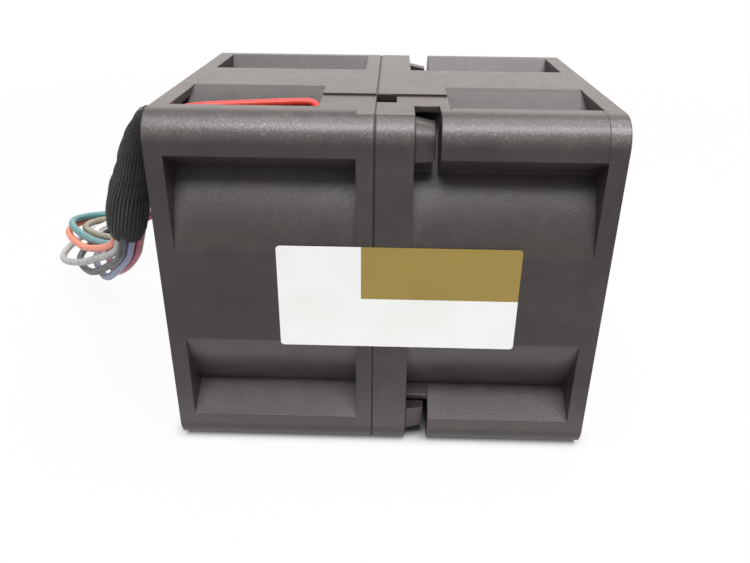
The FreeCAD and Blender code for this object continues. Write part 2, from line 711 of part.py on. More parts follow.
def impeller(stage):
    front, inside, end = HUB_RECESS, HUB_RECESS + HUB_FRONT, skirt_end(stage)
    cup = disc(HUB_R, at(stage, front), at(stage, end))
    rim = [e for e in cup.Edges if abs(e.CenterOfMass.x - at(stage, front)) < FIT and e.Closed]
    cup = cup.makeFillet(HUB_ROUND, rim)
    cup = cup.cut(disc(HUB_IN, at(stage, inside), at(stage, end)))
    boss = disc(HUB_BOSS_R, at(stage, inside), at(stage, boss_end(stage)))
    blades = around(blade(stage), stage.blades)
    hole = disc(SHAFT_R + FIT, at(stage, front + HUB_FRONT / 2), at(stage, boss_end(stage)))
    return fused([cup, boss] + blades).cut(hole)


def rotor_yoke(stage):
    """Steel cup inside the hub that carries the magnet."""
    inside = HUB_RECESS + HUB_FRONT
    front, end = at(stage, inside), at(stage, skirt_end(stage) - ROTOR_GAP)
    cup = disc(YOKE_OUT, front, end).cut(disc(YOKE_IN, at(stage, inside + YOKE_T), end))
    return cup.cut(disc(HUB_BOSS_R + FIT, front, end))


def magnet_ring(stage):
    first = core_start(stage) - MAGNET_OVER
    last = core_end(stage) + MAGNET_OVER
    return ring(MAGNET_OUT, MAGNET_IN, at(stage, first), at(stage, last))


def clip_start(stage):
    return bearing_starts(stage)[1] + BEARING_WIDTH + THRUST_T


def shaft(stage):
    """Shaft from the hub to the base, with a groove for its clip."""
    first, last = HUB_RECESS + HUB_FRONT / 2, tube_end(stage) - SHAFT_END_GAP
    groove = clip_start(stage)
    rod = disc(SHAFT_R, at(stage, first), at(stage, last))
    return rod.cut(ring(CLIP_R, SHAFT_R - CLIP_GROOVE, at(stage, groove), at(stage, groove + CLIP_T)))


def preload_washer(stage):
    """Sprung cone between the hub's boss and the first bearing's inner ring."""
    first, last = boss_end(stage), tube_start(stage)
    wide, narrow = HUB_BOSS_R - WASHER_T, SHAFT_R + FIT + WASHER_T
    return revolved([
        (at(stage, first), wide), (at(stage, first + WASHER_T), wide),
        (at(stage, last), narrow), (at(stage, last - WASHER_T), narrow),
    ])


def thrust_washer(stage):
    start = bearing_starts(stage)[1] + BEARING_WIDTH
    return ring(PITCH_R - RING_GAP, SHAFT_R + FIT, at(stage, start), at(stage, start + THRUST_T))


def retaining_clip(stage):
    """Open ring in the shaft's groove."""
    start = clip_start(stage)
    x0, x1 = at(stage, start), at(stage, start + CLIP_T)
    mouth = block(x0, x1, 0, CLIP_R, AXIS_Z - CLIP_MOUTH / 2, AXIS_Z + CLIP_MOUTH / 2)
    return ring(CLIP_R, SHAFT_R - CLIP_GROOVE + FIT, x0, x1).cut(mouth)


def cord_tube(points, radius, name):
    """Round tube along straight runs joined by arcs as large as the runs allow."""
    points = [Vector(*p) for p in points]
    edges, last, radii = [], points[0], []
    for before, here, after in zip(points, points[1:], points[2:]):
        inward, outward = (here - before), (after - here)
        reach = BEND_SHARE * min(inward.Length, outward.Length)
        inward.normalize()
        outward.normalize()
        half = inward.getAngle(outward) / 2
        bend = reach / math.tan(half)
        radii.append(bend)
        bisector = (outward - inward).normalize()
        centre = here + bisector * (bend / math.cos(half))
        first, end = here - inward * reach, here + outward * reach
        edges.append(Part.LineSegment(last, first).toShape())
        edges.append(Part.Arc(first, centre - bisector * bend, end).toShape())
        last = end
    edges.append(Part.LineSegment(last, points[-1]).toShape())
    path = Part.Wire(edges)
    profile = Part.Wire([Part.Circle(points[0], points[1] - points[0], radius).toShape()])
    tube = path.makePipeShell([profile], True, False)
    share = tube.Volume / (math.pi * radius ** 2 * path.Length)
    print(f"{name}: length {path.Length:.1f}, smallest radius {min(radii):.1f}, volume share {share:.4f}")
    return tube


def channel_leads():
    """Seven wires in the channel: those of the outlet motor start under its tab, the others at the inlet's slot."""
    places, _ = channel_places()
    outlet_start = X_SEAM + OUTLET_SEAM_FLANGE + OUTLET_TAB / 2
    inlet_start = X_SEAM - INLET_SEAM_FLANGE - INLET_TAB / 2
    leads = []
    for i, place in enumerate(places):
        start = outlet_start if i % 2 == 0 else inlet_start
        leads.append(Part.makeCylinder(WIRE_R, start - X_LEFT, Vector(X_LEFT, place.y, place.z), Vector(1, 0, 0)))
    return Part.makeCompound(leads)


def channel_lead_red():
    """The topmost wire: it climbs out beside the tab, lies along the channel and dips to pass the end flange."""
    _, low = channel_places()
    tab_tip = X_SEAM - INLET_SEAM_FLANGE - INLET_TAB
    flange = X_LEFT + END_FLANGE
    top = SIDE - WIRE_R - WIRE_GAP
    points = [
        Vector(tab_tip + INLET_TAB / 2, low.y, low.z),
        Vector(tab_tip, low.y, low.z),
        Vector(tab_tip - RED_CLIMB, -HALF + RED_AT_TAB, top),
        Vector(flange + RED_CLIMB, -HALF + RED_AT_FLANGE, top),
        Vector(flange, low.y, low.z),
        Vector(X_LEFT, low.y, low.z),
    ]
    return cord_tube(points, WIRE_R, "channel_lead_red")


def lead_sleeve():
    """Woven sleeve over the wires, cut flush where it meets the inlet's end face."""
    tube = cord_tube(SLEEVE_ROUTE, SLEEVE_R, "lead_sleeve")
    return tube.cut(rounded_square(X_LEFT, X_SEAM).fuse(block(X_LEFT, X_SEAM, -HALF, HALF, 0, SIDE)))


def cavity_places():
    """(y, z) of the connector's cavities, row by row from below."""
    height = CONNECTOR_ROWS * CONNECTOR_PITCH / 2 + CONNECTOR_MARGIN
    return [
        (CONNECTOR_Y + (c - (CONNECTOR_COLUMNS - 1) / 2) * CONNECTOR_PITCH,
         height + (r - (CONNECTOR_ROWS - 1) / 2) * CONNECTOR_PITCH)
        for r in range(CONNECTOR_ROWS) for c in range(CONNECTOR_COLUMNS)
    ]


def square_bar(place, size, x0, x1):
    y, z = place
    return block(x0, x1, y - size / 2, y + size / 2, z - size / 2, z + size / 2)


def connector_housing():
    """Two-row housing with a cavity for each terminal and a latch lever on top."""
    width = CONNECTOR_COLUMNS * CONNECTOR_PITCH + 2 * CONNECTOR_MARGIN
    height = CONNECTOR_ROWS * CONNECTOR_PITCH + 2 * CONNECTOR_MARGIN
    x1 = CONNECTOR_X + CONNECTOR_LENGTH
    body = block(CONNECTOR_X, x1, CONNECTOR_Y - width / 2, CONNECTOR_Y + width / 2, 0, height)
    y0, y1 = CONNECTOR_Y - LATCH_WIDTH / 2, CONNECTOR_Y + LATCH_WIDTH / 2
    foot = block(x1 - LATCH_T * 2, x1, y0, y1, height, height + LATCH_LIFT + LATCH_T)
    lever = block(x1 - LATCH_LENGTH, x1, y0, y1, height + LATCH_LIFT, height + LATCH_LIFT + LATCH_T)
    cavities = [square_bar(p, TERMINAL + 2 * CAVITY_GAP, CONNECTOR_X, x1) for p in cavity_places()]
    return fused([body, foot, lever]).cut(cavities)


def connector_terminals():
    return Part.makeCompound([
        square_bar(p, TERMINAL, CONNECTOR_X, CONNECTOR_X + TERMINAL_LENGTH) for p in cavity_places()])


MOTOR_PIECES = [
    bearing_tube, circuit_board, board_components, stator_core, insulators, coil_windings, motor_leads,
    outer_rings, inner_rings, bearing_balls, bearing_shields, impeller, rotor_yoke, magnet_ring, shaft,
    preload_washer, thrust_washer, retaining_clip,
]
SINGLE_PIECES = [
    inlet_frame, outlet_frame, side_label, channel_leads, channel_lead_red, lead_sleeve,
    connector_housing, connector_terminals,
]

os.makedirs("parts", exist_ok=True)
for make in SINGLE_PIECES:
    make().exportStep(f"parts/{make.__name__}.step")
for stage in (INLET, OUTLET):
    for make in MOTOR_PIECES:
        make(stage).exportStep(f"parts/{stage.name}_{make.__name__}.step")
for colour, route in WIRE_ROUTES.items():
    cord_tube(route, LOOSE_R, f"wire_{colour}").exportStep(f"parts/wire_{colour}.step")
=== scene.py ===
"""Looks of a square double axial fan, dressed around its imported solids."""

import json
import logging
import math
from dataclasses import dataclass, field
from enum import Enum
from functools import cache
from typing import Any, Mapping, Sequence

import bpy
from mathutils import Matrix, Vector

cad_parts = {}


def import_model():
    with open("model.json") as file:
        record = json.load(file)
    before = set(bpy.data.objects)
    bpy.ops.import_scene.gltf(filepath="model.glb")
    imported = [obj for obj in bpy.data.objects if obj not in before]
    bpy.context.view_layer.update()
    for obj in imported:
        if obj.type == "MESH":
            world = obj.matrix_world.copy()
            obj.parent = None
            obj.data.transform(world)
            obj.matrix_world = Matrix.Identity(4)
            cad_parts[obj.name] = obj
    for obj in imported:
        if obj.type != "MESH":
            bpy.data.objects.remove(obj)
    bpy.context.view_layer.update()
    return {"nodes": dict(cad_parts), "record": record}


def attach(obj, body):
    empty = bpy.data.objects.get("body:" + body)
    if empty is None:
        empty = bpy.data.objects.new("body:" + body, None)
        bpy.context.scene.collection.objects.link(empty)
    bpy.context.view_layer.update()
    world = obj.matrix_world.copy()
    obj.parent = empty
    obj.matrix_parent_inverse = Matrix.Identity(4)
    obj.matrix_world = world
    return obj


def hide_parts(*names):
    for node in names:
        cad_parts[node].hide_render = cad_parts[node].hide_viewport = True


LOG = logging.getLogger("fan_scene")
MM = 0.001
PICTURE_WIDTH = 750
SENSOR_MM = 36.0
HOUSING = "housing"
AXIS_HEIGHT = 20.0 * MM
RAY_SAMPLES = 6
EDGE_LEAN = 0.3
CURVE_ORDER = 3
CURVE_STEPS = 16
ROUND_STEPS = 4
GOLDEN_TURN = math.tau * 0.381966

Point = tuple[float, float, float]
Colour = tuple[float, float, float]
Span = tuple[float, float]


class Value:
    """A socket of a material's nodes that takes part in Python arithmetic."""

    def __init__(self, bench: "Bench", socket: bpy.types.NodeSocket) -> None:
        """Keeps the bench that adds nodes and the socket that gives the value."""
        self.bench = bench
        self.socket = socket

    def _math(self, operation: str, *operands: Any) -> "Value":
        """Adds one Math node.

        Args:
            operation: The Math node's operation.
            operands: Values or numbers, in the node's order.

        Returns:
            The node's result.
        """
        return self.bench.add("ShaderNodeMath", {"operation": operation}, dict(enumerate(operands)))

    def __add__(self, other: Any) -> "Value":
        """Sum."""
        return self._math("ADD", self, other)

    def __radd__(self, other: Any) -> "Value":
        """Sum with a number on the left."""
        return self._math("ADD", other, self)

    def __sub__(self, other: Any) -> "Value":
        """Difference."""
        return self._math("SUBTRACT", self, other)

    def __rsub__(self, other: Any) -> "Value":
        """Difference from a number on the left."""
        return self._math("SUBTRACT", other, self)

    def __mul__(self, other: Any) -> "Value":
        """Product."""
        return self._math("MULTIPLY", self, other)

    def __rmul__(self, other: Any) -> "Value":
        """Product with a number on the left."""
        return self._math("MULTIPLY", other, self)

    def __gt__(self, other: Any) -> "Value":
        """1 where the value is above the other, else 0."""
        return self._math("GREATER_THAN", self, other)

    def __lt__(self, other: Any) -> "Value":
        """1 where the value is below the other, else 0."""
        return self._math("LESS_THAN", self, other)

    def call(self, operation: str, *operands: Any) -> "Value":
        """Any other Math operation, with this value first."""
        return self._math(operation, self, *operands)

    def ease(self, low: float, high: float) -> "Value":
        """Smooth step from 0 at low to 1 at high."""
        return self.bench.add(
            "ShaderNodeMapRange", {"interpolation_type": "SMOOTHSTEP"},
            {"Value": self, "From Min": low, "From Max": high})


class Bench:
    """Adds the nodes of one tree."""

    def __init__(self, tree: bpy.types.NodeTree) -> None:
        """Starts from an empty tree."""
        self.tree = tree
        self.tree.nodes.clear()

    def add(self, kind: str, settings: Mapping[str, Any] | None = None,
            inputs: Mapping[Any, Any] | None = None, output: int | str = 0) -> Value:
        """Adds one node.

        Args:
            kind: The node's type.
            settings: Properties of the node, set first.
            inputs: Values, numbers or colours for its sockets, by name, identifier or place.
            output: The output that is wanted, by name, identifier or place.

        Returns:
            That output.
        """
        node = self.tree.nodes.new(kind)
        for key, value in (settings or {}).items():
            setattr(node, key, value)
        for key, value in (inputs or {}).items():
            self.feed(self.find(node.inputs, key), value)
        return Value(self, self.find(node.outputs, output))

    @staticmethod
    def find(sockets: Any, key: int | str) -> bpy.types.NodeSocket:
        """Finds a node's socket.

        Args:
            sockets: The node's inputs or outputs.
            key: The socket's place, identifier or name.

        Returns:
            The socket.
        """
        if isinstance(key, int):
            return sockets[key]
        for socket in sockets:
            if socket.identifier == key:
                return socket
        return next(s for s in sockets if s.name == key and s.enabled)

    def feed(self, socket: bpy.types.NodeSocket, value: Any) -> None:
        """Gives an input what it works on.

        Args:
            socket: The input.
            value: A value to link to it, or a number or colour to set on it.
        """
        if isinstance(value, Value):
            self.tree.links.new(value.socket, socket)
        elif isinstance(value, tuple) and socket.type == "RGBA":
            socket.default_value = (*value[:3], 1.0)
        else:
            socket.default_value = value


class Paint(Bench):
    """Adds the nodes of one material."""

    def __init__(self, name: str) -> None:
        """Starts an empty material.

        Args:
            name: The material's name.
        """
        self.material = bpy.data.materials.new(name)
        self.material.use_nodes = True
        super().__init__(self.material.node_tree)

    def place(self) -> Value:
        """Object coordinates, in metres."""
        return self.add("ShaderNodeTexCoord", output="Object")

    def axes(self) -> tuple[Value, Value, Value]:
        """X, Y and Z of the object coordinates."""
        node = self.add("ShaderNodeSeparateXYZ", inputs={"Vector": self.place()}).socket.node
        return tuple(Value(self, node.outputs[i]) for i in range(3))

    def noise(self, size: float, detail: float = 2.0, roughness: float = 0.5,
              stretch: Point = (1.0, 1.0, 1.0)) -> Value:
        """Noise whose features are about size metres across.

        Args:
            size: Feature size in metres.
            detail: Octaves.
            roughness: Weight of the finer octaves.
            stretch: Factors on the coordinates, to draw the noise out along an axis.

        Returns:
            A value about 0.5, from 0 to 1.
        """
        turned = self.add("ShaderNodeMapping", inputs={"Vector": self.place(), "Scale": stretch})
        return self.add("ShaderNodeTexNoise", None, {
            "Vector": turned, "Scale": 1.0 / size, "Detail": detail, "Roughness": roughness})

    def blend(self, share: Any, first: Any, second: Any) -> Value:
        """Colour between two colours."""
        return self.add("ShaderNodeMix", {"data_type": "RGBA"}, {
            "Factor_Float": share, "A_Color": first, "B_Color": second}, "Result_Color")

    def true_normal(self) -> Value:
        """The way that the face itself points."""
        return self.add("ShaderNodeNewGeometry", output="True Normal")

    def soft_edges(self, radius: float) -> Value:
        """Normal that rounds sharp edges by a radius in metres."""
        return self.add("ShaderNodeBevel", {"samples": RAY_SAMPLES}, {"Radius": radius})

    def edge_share(self, rounded: Value) -> Value:
        """How far a rounded normal leans from the true one: 0 on flats and up to 1 on edges."""
        dot = self.add("ShaderNodeVectorMath", {"operation": "DOT_PRODUCT"}, {
            0: rounded, 1: self.true_normal()}, "Value")
        return (1.0 - dot.call("ABSOLUTE")).ease(0.0, EDGE_LEAN)

    def openness(self, reach: float) -> Value:
        """How open the surface lies within a reach in metres: 1 on flats and edges, less in folds."""
        settings = {"samples": RAY_SAMPLES, "only_local": True}
        return self.add("ShaderNodeAmbientOcclusion", settings, {"Distance": reach}, "AO")

    def relief(self, height: Value, depth: float, normal: Value | None = None) -> Value:
        """Bump from a height between 0 and 1.

        Args:
            height: The height.
            depth: Its full depth in metres.
            normal: The normal to start from.

        Returns:
            The new normal.
        """
        inputs: dict[str, Any] = {"Height": height, "Distance": depth}
        if normal is not None:
            inputs["Normal"] = normal
        return self.add("ShaderNodeBump", None, inputs)

    def surface(self, **sockets: Any) -> bpy.types.Material:
        """Ends the material in a Principled BSDF.

        Args:
            sockets: Values for its sockets, with underscores for spaces in their names.

        Returns:
            The finished material.
        """
        named = {key.replace("_", " "): value for key, value in sockets.items()}
        self.output(self.add("ShaderNodeBsdfPrincipled", None, named))
        return self.material

    def output(self, shader: Value) -> None:
        """Links a shader to the material's output."""
        node = self.tree.nodes.new("ShaderNodeOutputMaterial")
        self.tree.links.new(shader.socket, node.inputs["Surface"])


class Pattern(Bench):
    """Adds the nodes of one geometry tree and puts its result into a piece."""

    def __init__(self, name: str) -> None:
        """Starts an empty tree with a geometry on each side.

        Args:
            name: The tree's name.
        """
        super().__init__(bpy.data.node_groups.new(name, "GeometryNodeTree"))
        for side in ("INPUT", "OUTPUT"):
            self.tree.interface.new_socket("Geometry", in_out=side, socket_type="NodeSocketGeometry")
        self.entry = self.tree.nodes.new("NodeGroupInput")
        self.values: dict[str, float] = {}

    def given(self) -> Value:
        """The piece's own geometry."""
        return Value(self, self.entry.outputs[0])

    def size(self, name: str, value: float) -> Value:
        """Adds a named input.

        Args:
            name: The input's name.
            value: What the piece sets on it.

        Returns:
            The input's value.
        """
        socket = self.tree.interface.new_socket(name, in_out="INPUT", socket_type="NodeSocketFloat")
        self.values[socket.identifier] = value
        return Value(self, self.find(self.entry.outputs, socket.identifier))

    def attribute(self, name: str, kind: str = "FLOAT_VECTOR") -> Value:
        """A named attribute of the points."""
        return self.add(
            "GeometryNodeInputNamedAttribute", {"data_type": kind}, {"Name": name}, "Attribute")

    def scaled(self, vector: Value, share: Any) -> Value:
        """A vector times a number."""
        return self.add(
            "ShaderNodeVectorMath", {"operation": "SCALE"}, {0: vector, "Scale": share}, "Vector")

    def join(self, *parts: Value) -> Value:
        """Joins geometries.

        Args:
            parts: The geometries.

        Returns:
            All of them as one.
        """
        joined = self.tree.nodes.new("GeometryNodeJoinGeometry")
        for part in parts:
            self.tree.links.new(part.socket, joined.inputs[0])
        return Value(self, joined.outputs[0])

    def strand(self, bend: tuple[Point, Point, Point], radius: Value, steps: int, sides: int) -> Value:
        """A bent round strand.

        Args:
            bend: Its first point, the point that it bends towards, and its last point.
            radius: The strand's radius.
            steps: Segments along it.
            sides: Faces around it.

        Returns:
            The strand's mesh.
        """
        start, middle, end = bend
        line = self.add("GeometryNodeCurveQuadraticBezier", None, {
            "Resolution": steps, "Start": start, "Middle": middle, "End": end})
        ring = self.add("GeometryNodeCurvePrimitiveCircle", None, {"Resolution": sides, "Radius": radius})
        return self.add("GeometryNodeCurveToMesh", None, {"Curve": line, "Profile Curve": ring})

    def apply(self, piece: bpy.types.Object, result: Value, finish: "Finish") -> None:
        """Ends the tree, runs it on a piece and keeps the outcome as the piece's plain mesh.

        Args:
            piece: The piece.
            result: The tree's geometry.
            finish: The finish that it gets.
        """
        real = self.add("GeometryNodeRealizeInstances", None, {"Geometry": result})
        dressed = self.add("GeometryNodeSetMaterial", None, {
            "Geometry": real, "Material": finish.material()})
        self.tree.links.new(dressed.socket, self.tree.nodes.new("NodeGroupOutput").inputs[0])
        modifier = piece.modifiers.new("pattern", "NODES")
        modifier.node_group = self.tree
        for identifier, value in self.values.items():
            modifier[identifier] = value
        seen = piece.evaluated_get(bpy.context.evaluated_depsgraph_get())
        mesh = bpy.data.meshes.new_from_object(seen)
        piece.modifiers.remove(modifier)
        piece.data = mesh
        dress(piece, finish)


def shaded(colour: Colour, share: float) -> Colour:
    """A darker share of a colour."""
    return tuple(c * share for c in colour)


@dataclass(frozen=True)
class MouldedPlastic:
    """Satin moulded plastic with a fine spark-eroded grain and paler worn edges."""

    name: str
    colour: Colour
    pale: Colour
    roughness: float = 0.42
    cloud: float = 9.0 * MM
    patch: float = 1.6 * MM
    fibre: float = 0.35 * MM
    grain: float = 0.24 * MM
    grain_depth: float = 0.022 * MM
    edge_radius: float = 0.22 * MM
    edge_wear: float = 0.35

    def material(self) -> bpy.types.Material:
        """Builds the material.

        Returns:
            The material.
        """
        b = Paint(self.name)
        rounded = b.soft_edges(self.edge_radius)
        cloud = b.noise(self.cloud, 3.0)
        grain = b.noise(self.grain, 2.0)
        fibre = b.noise(self.fibre, 1.0, stretch=(0.35, 1.0, 1.0)).ease(0.62, 0.8)
        wear = b.edge_share(rounded) * b.noise(self.patch, 3.0).ease(0.35, 0.7)
        share = cloud.ease(0.3, 0.75) * 0.45 + fibre * 0.25 + wear * self.edge_wear
        colour = b.blend(share, self.colour, self.pale)
        rough = self.roughness + (cloud - 0.5) * 0.10 + (grain - 0.5) * 0.16 - wear * 0.08
        normal = b.relief(grain * 0.8 + cloud * 0.2, self.grain_depth, rounded)
        return b.surface(Base_Color=colour, Roughness=rough, Normal=normal, IOR=1.5)


@dataclass(frozen=True)
class FrameMoulding:
    """Charcoal frame plastic: a satin skin with a fine sparked grain, a painted highlight with painted
    glints along its upper corners, painted shade in its folds and along its foot, and dust with painted
    light in its upward-facing recesses.
    """

    name: str
    colour: Colour
    pale: Colour
    painted_highlight_colour: Colour
    painted_glint_colour: Colour
    dust_and_light_colour: Colour
    roughness: float = 0.40
    cloud: float = 8.0 * MM
    patch: float = 1.7 * MM
    scratch: float = 0.22 * MM
    grain: float = 0.24 * MM
    grain_depth: float = 0.034 * MM
    speck: float = 0.17 * MM
    edge_radius: float = 0.24 * MM
    edge_wear: float = 0.35
    seam: float = -1.0 * MM
    seam_width: float = 0.11 * MM
    joint_line: float = 21.95 * MM
    joint_width: float = 0.05 * MM
    joint_above: float = 35.8 * MM
    joint_before: float = -15.8 * MM
    corner_out: Span = (17.4 * MM, 19.2 * MM)
    corner_up: Span = (16.9 * MM, 18.9 * MM)
    end_polish_highlight: float = 0.6
    fold_reach: float = 0.6 * MM
    fold_shade: float = 0.25
    foot_shade: float = 0.7
    foot_height: Span = (0.25 * MM, 1.1 * MM)
    dust_light_reach: float = 5.0 * MM
    dust_light_share: float = 0.39
    shelf_fold_span: Span = (15.4 * MM, 17.6 * MM)
    pocket_half: float = 15.9 * MM
    pocket_floor: float = 30.0 * MM

    @staticmethod
    def stripe(x: Value, middle: float, half_width: float) -> Value:
        """1 within half a width of a place along the axis, fading at its edges."""
        return 1.0 - (x - middle).call("ABSOLUTE").ease(0.4 * half_width, half_width)

    def lines(self, b: Paint) -> Value:
        """The dirt in the seam, and a moulding line round the front corner by the outlet's end flange.

        Args:
            b: The material's bench.

        Returns:
            1 on the lines and 0 beside them.
        """
        x, y, z = b.axes()
        corner = (z > self.joint_above) * (y < self.joint_before)
        hairline = self.stripe(x, self.joint_line, self.joint_width) * corner
        return hairline.call("MAXIMUM", self.stripe(x, self.seam, self.seam_width))

    def polish_and_highlight(self, b: Paint) -> Value:
        """The two rounded upper corners, where a highlight is painted and the roughness is lower.

        Args:
            b: The material's bench.

        Returns:
            1 along their middle, and more on the outlet's end flange.
        """
        x, y, z = b.axes()
        corner = y.call("ABSOLUTE").ease(*self.corner_out) * (z - AXIS_HEIGHT).ease(*self.corner_up)
        return corner * (1.0 + (x > self.joint_line) * self.end_polish_highlight)

    def dirt_and_shade(self, b: Paint, open_share: Value) -> Value:
        """Painted shade: darker in the folds and along the bottom edge where the fan rests.

        Args:
            b: The material's bench.
            open_share: How open the surface lies.

        Returns:
            The painted shade's share of the colour.
        """
        _, _, z = b.axes()
        folds = (1.0 - open_share.ease(0.35, 0.95)) * self.fold_shade
        return folds.call("MAXIMUM", (1.0 - z.ease(*self.foot_height)) * self.foot_shade)

    def dust_and_painted_light(self, b: Paint, patch: Value) -> Value:
        """Dust and painted light: a paler colour on what faces upwards in recesses, on the lower shelves,
        and more of it in the upper pockets, most in the outlet's back pockets; near the fold of the
        outlet's lower shelves it is held back, which leaves painted shade there.

        Args:
            b: The material's bench.
            patch: Patchy noise that breaks the paler colour up.

        Returns:
            The share of the paler colour.
        """
        x, y, z = b.axes()
        across = y.call("ABSOLUTE")
        upright = b.add("ShaderNodeSeparateXYZ", inputs={"Vector": b.true_normal()}, output="Z")
        outlet, back = x.ease(self.seam, self.seam + self.dust_light_reach), y.ease(0.0, self.pocket_half)
        # held back near the fold of the outlet's lower shelves, leaving painted shade there
        shaded_shelf = outlet * (1.0 - across.ease(*self.shelf_fold_span))
        recess = (1.0 - b.openness(self.dust_light_reach).ease(0.45, 1.0)).ease(0.0, 0.5) * (1.0 - shaded_shelf)
        pocket = (z > self.pocket_floor) * (across < self.pocket_half) * (1.0 - upright.ease(0.94, 0.985))
        upper = pocket * (0.7 + outlet * (0.6 + back * 1.4))
        lying = upright.ease(0.1, 0.7) * recess.call("MAXIMUM", upper)
        return lying * (0.6 + patch * 0.8) * self.dust_light_share

    def skin(self, b: Paint, open_share: Value) -> Value:
        """Normal with the outer edges rounded and the folds left sharp.

        Args:
            b: The material's bench.
            open_share: How open the surface lies.

        Returns:
            The normal.
        """
        flat = b.add("ShaderNodeNewGeometry", output="Normal")
        return b.add("ShaderNodeMix", {"data_type": "VECTOR"}, {
            "Factor_Float": open_share.ease(0.78, 0.96), "A_Vector": flat,
            "B_Vector": b.soft_edges(self.edge_radius)}, "Result_Vector")

    def material(self) -> bpy.types.Material:
        """Builds the material.

        Returns:
            The material.
        """
        b = Paint(self.name)
        open_share = b.openness(self.fold_reach)
        rounded = self.skin(b, open_share)
        cloud = b.noise(self.cloud, 3.0)
        patch = b.noise(self.patch, 4.0, 0.6)
        grain = b.noise(self.grain, 2.0, 0.6, (1.0, 1.0, 0.7))
        scratch = b.noise(self.scratch, 2.0, 0.5, (0.06, 1.0, 1.0)).ease(0.62, 0.74)
        wear = b.edge_share(rounded) * patch.ease(0.35, 0.65) * self.edge_wear
        # painted highlight band along the rounded upper corners, stronger on the outlet's end flange; it
        # also lowers their roughness
        polished_highlight = self.polish_and_highlight(b)
        painted_glints = b.noise(self.speck, 2.0, 0.7, (1.0, 1.0, 0.6)).ease(0.50, 0.78) * patch.ease(0.2, 0.65)
        line = self.lines(b)
        share = cloud.ease(0.3, 0.75) * 0.25 + patch.ease(0.35, 0.7) * 0.15 + wear + scratch * 0.08
        colour = b.blend(share, self.colour, self.pale)
        # painted highlight: a paler band along the upper corners, with brighter painted glints in it
        colour = b.blend(polished_highlight * (0.55 + patch * 0.5), colour, self.painted_highlight_colour)
        colour = b.blend(polished_highlight * painted_glints * 0.62, colour, self.painted_glint_colour)
        # dust and painted light: paler on upward-facing recesses and in the upper pockets
        colour = b.blend(self.dust_and_painted_light(b, patch), colour, self.dust_and_light_colour)
        # painted shade in the folds and along the edge where the fan rests
        colour = b.blend(self.dirt_and_shade(b, open_share), colour, shaded(self.colour, 0.35))
        colour = b.blend(line * 0.85, colour, shaded(self.colour, 0.2))
        uneven = (patch - 0.5) * 0.14 + (grain - 0.5) * 0.2
        rough = self.roughness + uneven - scratch * 0.05 - polished_highlight * 0.11 + line * 0.3
        height = grain * 0.75 + patch * 0.12 + scratch * 0.05 - line * 0.6
        normal = b.relief(height, self.grain_depth, rounded)
        return b.surface(
            Base_Color=colour, Roughness=rough, Normal=normal, IOR=1.5, Specular_IOR_Level=0.42)


@dataclass(frozen=True)
class Insulation:
    """Extruded wire insulation with a slight ripple and faint dirt."""

    name: str
    colour: Colour
    roughness: float = 0.34
    dirt_and_shade: float = 1.8 * MM
    ripple: float = 0.9 * MM
    ripple_depth: float = 0.03 * MM

    def material(self) -> bpy.types.Material:
        """Builds the material.

        Returns:
            The material.
        """
        b = Paint(self.name)
        dirt_and_shade = b.noise(self.dirt_and_shade, 3.0).ease(0.42, 0.78)
        ripple = b.noise(self.ripple, 2.0)
        colour = b.blend(dirt_and_shade * 0.6, self.colour, shaded(self.colour, 0.72))
        rough = self.roughness + (ripple - 0.5) * 0.18 + dirt_and_shade * 0.1
        normal = b.relief(ripple, self.ripple_depth)
        return b.surface(Base_Color=colour, Roughness=rough, Normal=normal, IOR=1.48)


@dataclass(frozen=True)
class KnitYarn:
    """Matte dark yarn with fuzz and a few paler fibres."""

    name: str
    colour: Colour
    pale: Colour
    roughness: float = 0.72
    fuzz: float = 0.07 * MM
    fuzz_depth: float = 0.03 * MM
    patch: float = 1.4 * MM

    def material(self) -> bpy.types.Material:
        """Builds the material.

        Returns:
            The material.
        """
        b = Paint(self.name)
        fuzz = b.noise(self.fuzz, 2.0)
        patch = b.noise(self.patch, 3.0)
        share = fuzz.ease(0.45, 0.8) * 0.5 + patch.ease(0.4, 0.75) * 0.4
        colour = b.blend(share, self.colour, self.pale)
        rough = self.roughness + (fuzz - 0.5) * 0.2
        normal = b.relief(fuzz, self.fuzz_depth)
        return b.surface(
            Base_Color=colour, Roughness=rough, Normal=normal, Sheen_Weight=0.12, Sheen_Roughness=0.45)


@dataclass(frozen=True)
class PrintedFilm:
    """Blank film label: white stock with one printed field in its upper corner."""

    name: str
    stock: Colour
    field_colour: Colour
    field_left: float
    field_bottom: float
    field_edge: float = 0.03 * MM
    yellowing: Colour = (0.93, 0.92, 0.88)
    roughness: float = 0.34
    screen: float = 0.12 * MM
    patch: float = 6.0 * MM
    wave_depth: float = 0.02 * MM

    def past(self, place: Value, edge: float) -> Value:
        """1 past one edge of the printed field."""
        return place.ease(edge - self.field_edge, edge + self.field_edge)

    def material(self) -> bpy.types.Material:
        """Builds the material.

        Returns:
            The material.
        """
        b = Paint(self.name)
        x, _, z = b.axes()
        screen = b.noise(self.screen, 1.0)
        patch = b.noise(self.patch, 3.0)
        ageing = patch.ease(0.4, 0.8) * 0.5 + screen.ease(0.5, 0.8) * 0.15
        stock = b.blend(ageing, self.stock, tuple(c * s for c, s in zip(self.stock, self.yellowing)))
        ink = b.blend(ageing, self.field_colour, shaded(self.field_colour, 0.84))
        colour = b.blend(self.past(x, self.field_left) * self.past(z, self.field_bottom), stock, ink)
        rough = self.roughness + (patch - 0.5) * 0.12 + (screen - 0.5) * 0.08
        normal = b.relief(patch * 0.7 + screen * 0.3, self.wave_depth)
        return b.surface(
            Base_Color=colour, Roughness=rough, Normal=normal, Coat_Weight=0.15, Coat_Roughness=0.3)


class MetalGrain(Enum):
    """How a metal was worked: its marks' stretch along the axes, their size, and the tone in them."""

    GROUND = ((1.0, 0.1, 0.1), 0.12 * MM, 0.85)
    TURNED = ((1.0, 0.05, 0.05), 0.12 * MM, 0.85)
    PRESSED = ((0.6, 0.6, 0.6), 0.12 * MM, 0.85)
    STACKED = ((1.0, 0.02, 0.02), 0.35 * MM, 0.6)


